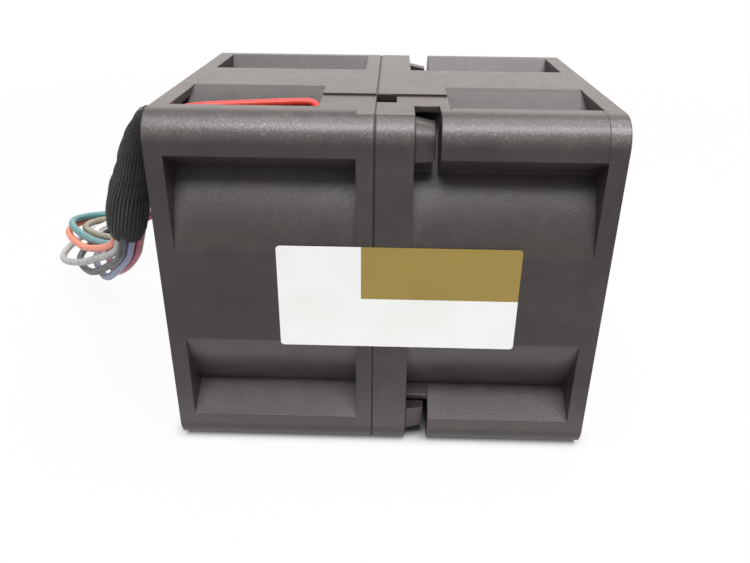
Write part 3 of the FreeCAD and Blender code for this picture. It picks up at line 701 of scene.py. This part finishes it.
@dataclass(frozen=True)
class Metal:
    """Metal with the marks of its working."""

    name: str
    colour: Colour
    grain: MetalGrain
    roughness: float = 0.3
    patch: float = 2.5 * MM
    mark_depth: float = 0.008 * MM
    edge_radius: float = 0.08 * MM

    def material(self) -> bpy.types.Material:
        """Builds the material.

        Returns:
            The material.
        """
        b = Paint(self.name)
        stretch, size, tone = self.grain.value
        marks = b.noise(size, 3.0, 0.6, stretch)
        patch = b.noise(self.patch, 3.0)
        share = marks.ease(0.35, 0.7) * 0.5 + patch.ease(0.45, 0.8) * 0.4
        colour = b.blend(share, self.colour, shaded(self.colour, tone))
        rough = self.roughness + (marks - 0.5) * 0.2 + (patch - 0.5) * 0.1
        normal = b.relief(marks, self.mark_depth, b.soft_edges(self.edge_radius))
        return b.surface(Base_Color=colour, Metallic=1.0, Roughness=rough, Normal=normal)


@dataclass(frozen=True)
class Laminate:
    """Board laminate under solder mask, with faint tracks."""

    name: str
    colour: Colour
    roughness: float = 0.32
    track: float = 0.9 * MM
    weave: float = 0.2 * MM
    mask_depth: float = 0.02 * MM

    def material(self) -> bpy.types.Material:
        """Builds the material.

        Returns:
            The material.
        """
        b = Paint(self.name)
        tracks = b.noise(self.track, 0.0, stretch=(0.2, 1.0, 0.35)).ease(0.52, 0.56)
        weave = b.noise(self.weave, 1.0)
        colour = b.blend(tracks * 0.5, self.colour, tuple(c * 1.7 + 0.01 for c in self.colour))
        rough = self.roughness + (weave - 0.5) * 0.15
        normal = b.relief(tracks * 0.7 + weave * 0.3, self.mask_depth)
        return b.surface(Base_Color=colour, Roughness=rough, Normal=normal)


@dataclass(frozen=True)
class Winding:
    """Enamelled copper wire wound round a tooth."""

    name: str
    colour: Colour
    roughness: float = 0.28
    pitch: float = 0.22 * MM
    turn_depth: float = 0.06 * MM
    patch: float = 0.8 * MM

    def material(self) -> bpy.types.Material:
        """Builds the material.

        Returns:
            The material.
        """
        b = Paint(self.name)
        centred = b.add("ShaderNodeMapping", None, {
            "Vector": b.place(), "Location": (0.0, 0.0, -AXIS_HEIGHT), "Scale": (0.0, 1.0, 1.0)})
        radius = b.add("ShaderNodeVectorMath", {"operation": "LENGTH"}, {0: centred}, "Value")
        turns = (radius * (math.tau / self.pitch)).call("SINE") * 0.5 + 0.5
        patch = b.noise(self.patch, 2.0)
        # painted shade: darker in the grooves between the turns
        colour = b.blend(turns * 0.7 + patch * 0.3, shaded(self.colour, 0.55), self.colour)
        rough = self.roughness + (patch - 0.5) * 0.2
        normal = b.relief(turns, self.turn_depth)
        return b.surface(Base_Color=colour, Metallic=0.85, Roughness=rough, Normal=normal,
                         Coat_Weight=0.3, Coat_Roughness=0.2)


class Finish(Enum):
    """Every finish on the fan, each named as its slot in the record."""

    # Colours in order: the frame, its paler tone, the painted highlight and the painted glints of the
    # upper corners, and the paler colour of dust and painted light in upward-facing recesses.
    FRAME = FrameMoulding(
        "frame_plastic", (0.026, 0.0190, 0.0185), (0.066, 0.054, 0.051), (0.098, 0.086, 0.083),
        (0.36, 0.34, 0.33), (0.142, 0.131, 0.129))
    IMPELLER = MouldedPlastic(
        "impeller_plastic", (0.020, 0.020, 0.021), (0.042, 0.041, 0.041), 0.36, edge_wear=0.2)
    LABEL = PrintedFilm("label_film", (0.78, 0.78, 0.77), (0.275, 0.190, 0.027), -2.3 * MM, 20.2 * MM)
    SLEEVE = KnitYarn("sleeve_cloth", (0.008, 0.008, 0.010), (0.030, 0.029, 0.034))
    LEAD_RED = Insulation("lead_red", (0.62, 0.035, 0.022))
    LEADS = Insulation("lead_mixed", (0.030, 0.030, 0.033))
    ORANGE = Insulation("wire_orange", (0.80, 0.235, 0.135))
    TEAL = Insulation("wire_teal", (0.085, 0.235, 0.24))
    OLIVE = Insulation("wire_olive", (0.25, 0.225, 0.155))
    WHITE = Insulation("wire_white", (0.74, 0.74, 0.71))
    GREY = Insulation("wire_grey", (0.42, 0.42, 0.41))
    BLACK = Insulation("wire_black", (0.022, 0.022, 0.024))
    BLUE = Insulation("wire_blue", (0.25, 0.28, 0.44))
    CRIMSON = Insulation("wire_crimson", (0.42, 0.075, 0.135))
    NYLON = MouldedPlastic(
        "connector_plastic", (0.74, 0.71, 0.62), (0.82, 0.80, 0.73), 0.38, edge_radius=0.15 * MM,
        edge_wear=0.5)
    TIN = Metal("terminal_tin", (0.72, 0.71, 0.68), MetalGrain.PRESSED)
    BRASS = Metal("brass", (0.72, 0.50, 0.20), MetalGrain.TURNED, 0.26)
    BOARD = Laminate("board_green", (0.015, 0.11, 0.045))
    CHIPS = MouldedPlastic(
        "chip_black", (0.018, 0.018, 0.018), (0.05, 0.05, 0.05), 0.5, edge_radius=0.06 * MM)
    CORE = Metal("core_steel", (0.36, 0.36, 0.37), MetalGrain.STACKED, 0.4)
    CAPS = MouldedPlastic(
        "cap_plastic", (0.66, 0.62, 0.50), (0.74, 0.71, 0.62), 0.4, edge_radius=0.08 * MM)
    COPPER = Winding("copper", (0.72, 0.30, 0.13))
    BEARING = Metal("bearing_steel", (0.76, 0.76, 0.78), MetalGrain.GROUND, 0.16)
    SHEET = Metal("sheet_steel", (0.52, 0.52, 0.53), MetalGrain.PRESSED, 0.34)
    MAGNET = MouldedPlastic("magnet", (0.055, 0.052, 0.052), (0.10, 0.10, 0.10), 0.62)
    WASHER = MouldedPlastic(
        "washer_plastic", (0.78, 0.77, 0.72), (0.85, 0.84, 0.80), 0.4, edge_radius=0.05 * MM)

    @property
    def slot(self) -> str:
        """The record's slot name."""
        return self.value.name

    @cache
    def material(self) -> bpy.types.Material:
        """The finish's material, built on first use."""
        return self.value.material()


def dress(piece: bpy.types.Object, finish: Finish) -> None:
    """Gives a piece one finish."""
    piece.data.materials.clear()
    piece.data.materials.append(finish.material())


def mesh_piece(name: str, points: Sequence[Any], faces: Sequence[Sequence[int]]) -> bpy.types.Object:
    """Makes a mesh object at the origin.

    Args:
        name: The object's name.
        points: Vertices in metres.
        faces: Faces by vertex number.

    Returns:
        The linked object.
    """
    mesh = bpy.data.meshes.new(name)
    mesh.from_pydata([tuple(p) for p in points], [], [tuple(f) for f in faces])
    mesh.update()
    piece = bpy.data.objects.new(name, mesh)
    bpy.context.scene.collection.objects.link(piece)
    return piece


def point_vectors(piece: bpy.types.Object, name: str, vectors: Sequence[Sequence[float]]) -> None:
    """Stores one vector on each of a piece's points, as a named attribute."""
    layer = piece.data.attributes.new(name, "FLOAT_VECTOR", "POINT")
    layer.data.foreach_set("vector", [c for v in vectors for c in v])


def nurbs_curve(name: str, route: Sequence[Sequence[float]], radius: float = 0.0) -> bpy.types.Object:
    """Makes a smooth curve whose control points are a route's points.

    Args:
        name: The object's name.
        route: Points in millimetres.
        radius: The tube's radius in metres; 0 leaves a bare line.

    Returns:
        The curve object, not yet linked.
    """
    curve = bpy.data.curves.new(name, "CURVE")
    curve.dimensions = "3D"
    spline = curve.splines.new("NURBS")
    spline.points.add(len(route) - 1)
    for point, place in zip(spline.points, route):
        point.co = (*(c * MM for c in place), 1.0)
    spline.order_u = CURVE_ORDER
    spline.use_endpoint_u = True
    curve.resolution_u = CURVE_STEPS
    curve.bevel_depth = radius
    curve.bevel_resolution = ROUND_STEPS
    curve.use_fill_caps = radius > 0
    return bpy.data.objects.new(name, curve)


def smooth_line(route: Sequence[Sequence[float]]) -> list[Vector]:
    """Follows the smooth curve of a route.

    Args:
        route: Points in millimetres.

    Returns:
        Points along the curve in metres, as Blender evaluates it.
    """
    bare = nurbs_curve("bare_line", route)
    mesh = bpy.data.meshes.new_from_object(bare)
    line = [v.co.copy() for v in mesh.vertices]
    bpy.data.meshes.remove(mesh)
    bpy.data.objects.remove(bare)
    return line


def tube(name: str, route: Sequence[Sequence[float]], radius: float, finish: Finish,
         stands_for: str) -> bpy.types.Object:
    """Makes one wire of the housing.

    Args:
        name: The object's name.
        route: Points in millimetres.
        radius: The wire's radius in metres.
        finish: Its finish.
        stands_for: The node that it takes the place of.

    Returns:
        The wire.
    """
    wire = nurbs_curve(name, route, radius)
    bpy.context.scene.collection.objects.link(wire)
    dress(wire, finish)
    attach(wire, HOUSING)
    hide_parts(stands_for)
    finish.slot
    return wire


@dataclass(frozen=True)
class SoftBox:
    """One soft lamp: its place, its aim, its width and height in metres, its watts and its colour."""

    name: str
    place: Point
    aim: Point
    size: Span
    power: float
    colour: Colour = (1.0, 1.0, 1.0)

    def build(self) -> None:
        """Adds the lamp, out of the camera's sight."""
        data = bpy.data.lights.new(self.name, "AREA")
        data.shape, data.size, data.size_y = "RECTANGLE", *self.size
        data.energy, data.color = self.power, self.colour
        lamp = bpy.data.objects.new(self.name, data)
        lamp.visible_camera = False
        turn = (Vector(self.aim) - Vector(self.place)).to_track_quat("-Z", "Y")
        lamp.matrix_world = Matrix.Translation(self.place) @ turn.to_matrix().to_4x4()
        bpy.context.scene.collection.objects.link(lamp)


@dataclass
class Studio:
    """Camera, floor and lights: a bank above, one behind along the top, a key and a low bounce."""

    lens: float = 700.876 / PICTURE_WIDTH * SENSOR_MM
    pitch: float = 26.673
    yaw: float = -1.278
    roll: float = 0.618
    eye: Point = (0.712, -87.234, 56.095)
    clip: Span = (0.005, 20.0)
    floor_half: float = 4.0
    floor_drop: float = 0.02 * MM
    floor_colour: Colour = (0.62, 0.62, 0.62)
    footing: Span = (0.0236, 0.0176)
    contact: Span = (0.0, 0.0026)
    floor_glow: float = 0.93
    floor_sheen: float = 0.30
    sheen_reach: Span = (0.010, 0.034)
    shade_reach: Span = (0.10, 0.32)
    white: Colour = (1.0, 1.0, 1.0)
    ambient: float = 0.25
    boxes: tuple[SoftBox, ...] = (
        SoftBox("over_bank", (0.04, -0.06, 0.52), (0.0, 0.0, 0.02), (0.60, 0.34), 2.1, (0.97, 0.98, 1.0)),
        SoftBox("back_bank", (0.02, 0.46, 0.30), (0.0, 0.0, 0.04), (0.90, 0.34), 1.2, (1.0, 0.91, 0.85)),
        SoftBox("key", (0.07, -0.26, 0.46), (0.0, 0.0, 0.02), (0.50, 0.20), 2.5),
        SoftBox("foot_bounce", (0.0, -0.025, 0.0005), (0.0, -0.025, 1.0), (0.056, 0.006), 0.0014,
                (1.0, 0.95, 0.93)))

    def camera(self) -> None:
        """Makes the camera at the photograph's viewing angle."""
        pitch, yaw, roll = (math.radians(a) for a in (self.pitch, self.yaw, self.roll))
        level = Vector((math.cos(yaw), -math.sin(yaw), 0.0))
        ahead = Vector((math.sin(yaw), math.cos(yaw), 0.0)) * math.cos(pitch)
        ahead.z = -math.sin(pitch)
        upright = level.cross(ahead)
        right = level * math.cos(roll) + upright * math.sin(roll)
        up = upright * math.cos(roll) - level * math.sin(roll)
        data = bpy.data.cameras.new("camera")
        data.lens, data.sensor_width = self.lens, SENSOR_MM
        data.clip_start, data.clip_end = self.clip
        camera = bpy.data.objects.new("camera", data)
        turn = Matrix((right, up, -ahead)).transposed().to_4x4()
        camera.matrix_world = Matrix.Translation(Vector(self.eye) * MM) @ turn
        bpy.context.scene.collection.objects.link(camera)
        bpy.context.scene.camera = camera

    @staticmethod
    def seen(bench: Bench) -> tuple[Value, Value]:
        """Tells apart the rays that show the surroundings.

        Args:
            bench: The bench of the floor's or the world's nodes.

        Returns:
            Values that are 1 for rays from the camera, and for those that gloss or glass sends on.
        """
        path = bench.add("ShaderNodeLightPath").socket.node.outputs
        camera, gloss, glass = (
            Value(bench, path[f"Is {ray} Ray"]) for ray in ("Camera", "Glossy", "Transmission"))
        return camera, gloss.call("MAXIMUM", glass)

    def floor(self) -> None:
        """Plain pale floor that shows white and keeps the fan's shadow."""
        h = self.floor_half
        floor = mesh_piece("floor", [(-h, -h, 0), (h, -h, 0), (h, h, 0), (-h, h, 0)], [(0, 1, 2, 3)])
        floor.location.z = -self.floor_drop
        b = Paint("floor_white")
        matt = b.add("ShaderNodeBsdfDiffuse", None, {"Color": self.floor_colour})
        glow = b.add("ShaderNodeEmission", None, {"Color": self.white, "Strength": 1.0})
        reach = b.add("ShaderNodeVectorMath", {"operation": "LENGTH"}, {0: b.place()}, "Value")
        over = [
            (c.call("ABSOLUTE") - half).call("MAXIMUM", 0.0) for c, half in zip(b.axes(), self.footing)]
        beside = (over[0] * over[0] + over[1] * over[1]).call("SQRT")
        far = reach.ease(*self.shade_reach)
        clear = beside.ease(*self.contact)
        direct = clear * (self.floor_glow + far * (1.0 - self.floor_glow))
        # in reflections the floor glows fully out to about 10 mm from the footing, less out to about 34
        # mm and fully again far off: a painted reflection that brightens the fan's lower front
        mirrored = clear * (1.0 - beside.ease(*self.sheen_reach) * (1.0 - far) * (1.0 - self.floor_sheen))
        camera, gloss = self.seen(b)
        share = camera * direct + gloss * mirrored
        b.output(b.add("ShaderNodeMixShader", None, {0: share, 1: matt, 2: glow}))
        floor.data.materials.append(b.material)

    def world(self) -> None:
        """White surroundings for the eye and for reflections, which light the fan as a dimmer grey."""
        world = bpy.data.worlds.new("surroundings")
        bpy.context.scene.world = world
        world.use_nodes = True
        b = Bench(world.node_tree)
        camera, gloss = self.seen(b)
        strength = self.ambient + camera.call("MAXIMUM", gloss) * (1.0 - self.ambient)
        back = b.add("ShaderNodeBackground", None, {"Color": self.white, "Strength": strength})
        out = b.tree.nodes.new("ShaderNodeOutputWorld")
        b.tree.links.new(back.socket, out.inputs["Surface"])

    def build(self) -> None:
        """Makes the whole studio."""
        bpy.context.scene.view_settings.view_transform = "Standard"
        self.camera()
        for box in self.boxes:
            box.build()
        self.floor()
        self.world()


@dataclass
class KnitSleeve:
    """Knitted sock over the first stretch of the lead, frayed where it was cut."""

    axis: tuple[Point, ...] = (
        (-24.0, -12.7, 37.7), (-25.4, -12.5, 38.2), (-26.4, -12.0, 36.9), (-27.6, -10.9, 34.9),
        (-28.8, -9.0, 32.3), (-30.0, -7.2, 30.0), (-31.5, -5.2, 27.4), (-33.3, -2.4, 23.6),
        (-34.55, -0.55, 20.7), (-34.98, 0.1, 19.3))
    swell: tuple[Span, ...] = (
        (0.0, 1.00), (0.10, 1.20), (0.20, 1.58), (0.30, 1.94), (0.45, 2.06), (0.53, 2.20), (0.64, 2.52),
        (0.82, 2.62), (0.93, 2.52), (1.0, 2.22))
    wales: int = 34
    courses: int = 88
    yarn: float = 0.19
    loft: float = 0.12 * MM
    folds: float = 0.04
    bunch: float = 0.03
    bunch_at: Span = (0.38, 0.16)
    puckers: float = 41.0
    ridges: float = 0.035 * MM
    ridges_at: Span = (0.42, 0.15)
    hem: float = 1.2 * MM
    threads: int = 48
    thread_length: float = 0.55 * MM
    thread_radius: float = 0.07
    stations: list[tuple[float, Vector, Vector, Vector, Vector]] = field(default_factory=list)

    def radius(self, share: float) -> float:
        """Works out the smooth sock's radius.

        Args:
            share: The share of its length.

        Returns:
            The radius in metres.
        """
        for (s0, r0), (s1, r1) in zip(self.swell, self.swell[1:]):
            if share <= s1:
                t = (share - s0) / (s1 - s0)
                return (r0 + (r1 - r0) * t * t * (3 - 2 * t)) * MM
        return self.swell[-1][1] * MM

    def bulge(self, course: int, share: float, turn: float) -> float:
        """Works out the radius at one stitch, with the sock's folds, puckers and ridges.

        Args:
            course: The stitch's course.
            share: The share of the length.
            turn: The angle round the axis.

        Returns:
            The radius in metres.
        """
        bunch_bell, ridge_bell = (
            math.exp(-((share - middle) / spread) ** 2)
            for middle, spread in (self.bunch_at, self.ridges_at))
        fold = math.sin(3 * turn + 7 * share) * 0.6 + math.sin(5 * turn - 11 * share + 1.0) * 0.4
        bunch = math.sin(share * self.puckers) * bunch_bell * self.bunch
        ridge = math.cos(math.pi * course) * ridge_bell * self.ridges
        return self.radius(share) * (1 + self.folds * fold * min(1.0, share * 3) + bunch) + ridge

    def lay_out(self) -> None:
        """Finds each course's share of the length, centre, way along and two ways across."""
        line = smooth_line(self.axis)
        runs = [0.0]
        for a, b in zip(line, line[1:]):
            runs.append(runs[-1] + (b - a).length)
        across = Vector((0.0, -1.0, 0.0))
        for course in range(self.courses):
            share = course / (self.courses - 1)
            k = max(1, next((i for i, run in enumerate(runs) if run >= share * runs[-1]), len(runs) - 1))
            part = (share * runs[-1] - runs[k - 1]) / (runs[k] - runs[k - 1])
            along = (line[k] - line[k - 1]).normalized()
            across = (across - along * across.dot(along)).normalized()
            centre = line[k - 1].lerp(line[k], part)
            self.stations.append((share, centre, along, across.copy(), along.cross(across)))

    def carrier(self) -> bpy.types.Object:
        """Makes the tube whose points carry the stitches.

        Returns:
            The tube, with the stitches' directions and sizes on its points.
        """
        points, outs, alongs, sizes = [], [], [], []
        step = (self.stations[1][1] - self.stations[0][1]).length
        for course, (share, centre, along, across, side) in enumerate(self.stations):
            for wale in range(self.wales):
                turn = math.tau * wale / self.wales
                out = across * math.cos(turn) + side * math.sin(turn)
                radius = self.bulge(course, share, turn)
                points.append(centre + out * radius)
                outs.append(out)
                alongs.append(along)
                sizes.append((math.tau * radius / self.wales, step, self.loft))
        stitched = len(points)
        w, n = self.wales, self.courses
        faces = [(c * w + k, c * w + (k + 1) % w, (c + 1) * w + (k + 1) % w, (c + 1) * w + k)
                 for c in range(n - 1) for k in range(w)]
        for course, sunk, order in ((0, 0.0, -1), (n - 1, self.hem, 1)):
            _, centre, along, _, _ = self.stations[course]
            faces += [(*(course * w + j % w for j in (k, k + 1)[::order]), len(points)) for k in range(w)]
            points.append(centre - along * sunk)
            outs.append(along * 0.0)
            alongs.append(along)
            sizes.append((0.0, 0.0, 0.0))
        piece = mesh_piece("knit_sleeve", points, faces)
        for name, vectors in (("out", outs), ("along", alongs), ("size", sizes)):
            point_vectors(piece, name, vectors)
        layer = piece.data.attributes.new("knit", "FLOAT", "POINT")
        layer.data.foreach_set("value", [float(k < stitched) for k in range(len(points))])
        return piece

    def knit(self) -> bpy.types.Object:
        """Knits the sleeve: a lining with one stitch of two slanted strands on each of its points.

        Returns:
            The sleeve.
        """
        piece = self.carrier()
        g = Pattern("stitches")
        yarn = g.size("Yarn", self.yarn)
        depth = g.size("Lining depth", self.loft)
        out, along = g.attribute("out"), g.attribute("along")
        lining = g.add("GeometryNodeSetPosition", None, {
            "Geometry": g.given(), "Offset": g.scaled(out, 0.0 - depth)})
        legs = [
            g.strand(((side * 0.46, -0.62, -0.5), (side * 0.34, 0.1, 1.3), (side * 0.10, 0.72, 0.1)),
                     yarn, steps=3, sides=4)
            for side in (-1.0, 1.0)]
        dots = g.add("GeometryNodeMeshToPoints", None, {
            "Mesh": g.given(), "Selection": g.attribute("knit", "FLOAT") > 0.5})
        turn = g.add("FunctionNodeAxesToRotation", {"primary_axis": "Z", "secondary_axis": "Y"}, {
            "Primary Axis": out, "Secondary Axis": along})
        stitches = g.add("GeometryNodeInstanceOnPoints", None, {
            "Points": dots, "Instance": g.join(*legs), "Rotation": turn, "Scale": g.attribute("size")})
        g.apply(piece, g.join(lining, stitches), Finish.SLEEVE)
        return piece

    def fray(self) -> bpy.types.Object:
        """Makes the loose thread ends round the sleeve's cut edge.

        Returns:
            The threads, as one piece.
        """
        points, outs = [], []
        for k in range(self.threads):
            share, centre, along, across, side = self.stations[(k * 5) % 4]
            out = across * math.cos(GOLDEN_TURN * k) + side * math.sin(GOLDEN_TURN * k)
            points.append(centre + out * self.radius(share) * 1.02)
            outs.append((out * 0.35 - along * 0.7 + Vector((-0.15, 0.0, 0.6))).normalized())
        piece = mesh_piece("sleeve_fray", points, [])
        point_vectors(piece, "out", outs)
        g = Pattern("loose_threads")
        length = g.size("Length", self.thread_length)
        thick = g.size("Thread radius", self.thread_radius)
        thread = g.strand(
            ((0.0, 0.0, -0.3), (0.12, 0.05, 0.45), (0.0, 0.28, 1.0)), thick, steps=4, sides=4)
        dots = g.add("GeometryNodeMeshToPoints", None, {"Mesh": g.given()})
        turn = g.add("FunctionNodeAlignRotationToVector", {"axis": "Z"}, {"Vector": g.attribute("out")})
        lean = g.add("FunctionNodeRandomValue", {"data_type": "FLOAT_VECTOR"}, {
            0: (-0.5, -0.5, -3.1), 1: (0.5, 0.5, 3.1), "Seed": 7})
        spun = g.add("FunctionNodeRotateRotation", {"rotation_space": "LOCAL"}, {
            "Rotation": turn, "Rotate By": lean})
        grown = g.add("FunctionNodeRandomValue", {"data_type": "FLOAT"}, {2: 0.35, 3: 1.0, "Seed": 3}, 1)
        hairs = g.add("GeometryNodeInstanceOnPoints", None, {
            "Points": dots, "Instance": thread, "Rotation": spun, "Scale": grown * length})
        g.apply(piece, hairs, Finish.SLEEVE)
        return piece

    def build(self) -> list[bpy.types.Object]:
        """Makes the sleeve and its frayed edge.

        Returns:
            Both pieces.
        """
        self.lay_out()
        sleeve, fray = self.knit(), self.fray()
        for piece in (sleeve, fray):
            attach(piece, HOUSING)
            Finish.SLEEVE.slot
            LOG.info("%s: %d faces", piece.name, len(piece.data.polygons))
        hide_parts("lead_sleeve")
        return [sleeve, fray]


@dataclass(frozen=True)
class LooseWire:
    """One wire of the lead, with its bends in millimetres.

    Its seat counts wires beside and above the bundle's middle, and its hole is the plug's row and column.
    """

    colour: str
    seat: tuple[int, int]
    hole: tuple[int, int]
    bends: tuple[Point, ...]


@dataclass
class FreeLead:
    """The eight loose wires that leave the sleeve and end in the plug, laid out in millimetres."""

    radius: float = 0.56 * MM
    mouth: Point = (-35.2, 0.6, 18.2)
    tucked: Point = (1.26, -1.68, 2.8)
    beside: Point = (0.96, 0.72, 0.0)
    above: Point = (-0.576, 0.768, 0.72)
    leaving: Point = (-1.296, 1.728, -2.88)
    first_hole: Point = (-12.0, 31.8, 3.8)
    pitch: float = 2.0
    straight: Point = (-9.5, 0.0, 0.0)
    wires: tuple[LooseWire, ...] = (
        LooseWire("orange", (-1, 1), (0, 0), (
            (-42.3, 6.7, 13.3), (-48.0, 12.8, 10.8), (-53.4, 19.6, 10.6), (-53.4, 25.4, 10.0),
            (-49.6, 29.4, 9.8), (-41.0, 30.8, 12.4), (-33.0, 31.2, 9.2))),
        LooseWire("teal", (0, 1), (0, 1), (
            (-41.4, 7.5, 13.7), (-47.2, 13.7, 11.9), (-52.8, 20.0, 11.9), (-52.8, 24.9, 11.2),
            (-49.1, 28.3, 10.4), (-40.8, 29.4, 12.6), (-33.0, 29.6, 9.2))),
        LooseWire("olive", (1, 1), (0, 2), (
            (-40.5, 8.3, 14.4), (-46.0, 14.6, 12.2), (-50.6, 20.2, 11.0), (-50.6, 24.2, 10.6),
            (-47.6, 26.9, 10.2), (-40.6, 28.0, 13.0), (-33.0, 27.9, 9.2))),
        LooseWire("white", (1, 0), (0, 3), (
            (-39.9, 8.4, 13.3), (-45.4, 15.6, 11.4), (-49.0, 20.4, 10.2), (-49.0, 23.6, 9.9),
            (-46.6, 25.8, 10.4), (-40.4, 26.6, 13.2), (-33.0, 26.2, 9.2))),
        LooseWire("grey", (-1, 0), (1, 0), (
            (-41.9, 6.2, 12.3), (-48.6, 12.2, 8.2), (-56.0, 20.7, 4.9), (-56.0, 26.9, 5.6),
            (-51.6, 31.3, 7.4), (-41.0, 31.8, 11.0), (-33.0, 31.6, 7.8))),
        LooseWire("black", (-1, -1), (1, 1), (
            (-41.0, 5.4, 11.1), (-46.0, 11.4, 7.0), (-49.8, 16.4, 5.2), (-53.0, 21.2, 4.9),
            (-53.0, 26.4, 5.4), (-49.4, 30.0, 7.2), (-40.8, 30.4, 11.2), (-33.0, 30.0, 7.8))),
        LooseWire("blue", (0, -1), (1, 2), (
            (-39.3, 5.0, 10.8), (-43.6, 10.4, 6.5), (-47.2, 16.2, 5.0), (-50.3, 21.7, 4.9),
            (-50.3, 25.9, 5.4), (-47.4, 28.8, 7.2), (-40.6, 29.0, 11.4), (-33.0, 28.4, 7.8))),
        LooseWire("crimson", (1, -1), (1, 3), (
            (-37.9, 5.0, 11.2), (-41.8, 9.8, 7.9), (-45.1, 16.0, 6.4), (-48.0, 21.9, 5.8),
            (-48.0, 25.3, 6.2), (-45.5, 27.6, 7.8), (-40.2, 27.6, 11.6), (-33.0, 26.9, 8.1))))

    def route(self, wire: LooseWire) -> list[Sequence[float]]:
        """Lays out one wire.

        Args:
            wire: The wire.

        Returns:
            Its points, from inside the sleeve to its hole in the plug.
        """
        out, up = wire.seat
        row, column = wire.hole
        start = Vector(self.mouth) + Vector(self.beside) * out + Vector(self.above) * up
        end = Vector(self.first_hole) - Vector((0.0, column, row)) * self.pitch
        first = [start + Vector(self.tucked), start, start + Vector(self.leaving)]
        return [*first, *wire.bends, end + Vector(self.straight), end]

    def build(self, fittings: Sequence[bpy.types.Object]) -> None:
        """Makes all the wires.

        Args:
            fittings: The pieces that they all share; not used.
        """
        for wire in self.wires:
            route = self.route(wire)
            line = smooth_line(route)
            length = sum((b - a).length for a, b in zip(line, line[1:]))
            piece = tube(f"loose_{wire.colour}", route, self.radius, Finish[wire.colour.upper()],
                         f"wire_{wire.colour}")
            tuple(c * MM for c in self.mouth)
            2 * self.radius
            LOG.info("%s: %.1f mm", piece.name, length / MM)


@dataclass
class ChannelWire:
    """The topmost wire of the channel, pulled straight between the end flange and the tab over it."""

    radius: float = 0.45 * MM
    route: tuple[Point, ...] = (
        (-24.0, -12.21, 38.48), (-22.4, -12.21, 38.48), (-20.9, -12.4, 38.98), (-16.3, -11.75, 39.13),
        (-12.4, -11.3, 39.24), (-9.2, -10.95, 39.33), (-7.75, -10.95, 39.3), (-7.05, -12.0, 38.5),
        (-4.9, -12.21, 38.48))

    def build(self) -> None:
        """Makes the wire."""
        piece = tube("red_channel_wire", self.route, self.radius, Finish.LEAD_RED, "channel_lead_red")
        LOG.info("%s: laid in its channel", piece.name)


@dataclass
class WindowShelves:
    """The strips of shelf that bridge the two lower hook windows above the hooks, in millimetres."""

    ends: Span = (2.95, 5.6)
    depths: Span = (15.7, 17.3)
    heights: Span = (6.6, 5.71)
    thickness: float = 0.6
    sides: tuple[tuple[int, ...], ...] = (
        (0, 2, 6, 4), (1, 5, 7, 3), (0, 4, 5, 1), (2, 3, 7, 6), (0, 1, 3, 2), (4, 6, 7, 5))

    def build(self) -> None:
        """Makes both strips as one piece."""
        points, faces = [], []
        for way in (-1, 1):
            faces += [[len(points) + k for k in side[::-way]] for side in self.sides]
            points += [
                Vector((x, way * y, z - drop)) * MM for x in self.ends
                for y, z in zip(self.depths, self.heights) for drop in (0.0, self.thickness)]
        piece = mesh_piece("window_shelves", points, faces)
        dress(piece, Finish.FRAME)
        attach(piece, HOUSING)
        Finish.FRAME.slot
        LOG.info("%s: laid over the lower hook windows", piece.name)


def dress_nodes(frame: Mapping[str, Any]) -> None:
    """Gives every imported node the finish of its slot.
    """
    finishes = {finish.slot: finish for finish in Finish}
    for part in frame["record"]["subparts"]:
        dress(frame["nodes"][part["node"]], finishes[part["material_slot"]])
        LOG.info("%s: finished as %s", part["node"], part["material_slot"])


def main() -> None:
    """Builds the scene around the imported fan."""
    logging.basicConfig(level=logging.INFO, format="%(message)s")
    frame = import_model()
    Studio().build()
    dress_nodes(frame)
    sock = KnitSleeve().build()
    plug = [frame["nodes"][name] for name in ("connector_housing", "connector_terminals")]
    FreeLead().build(sock + plug)
    ChannelWire().build()
    WindowShelves().build()


if __name__ == "__main__":
    main()
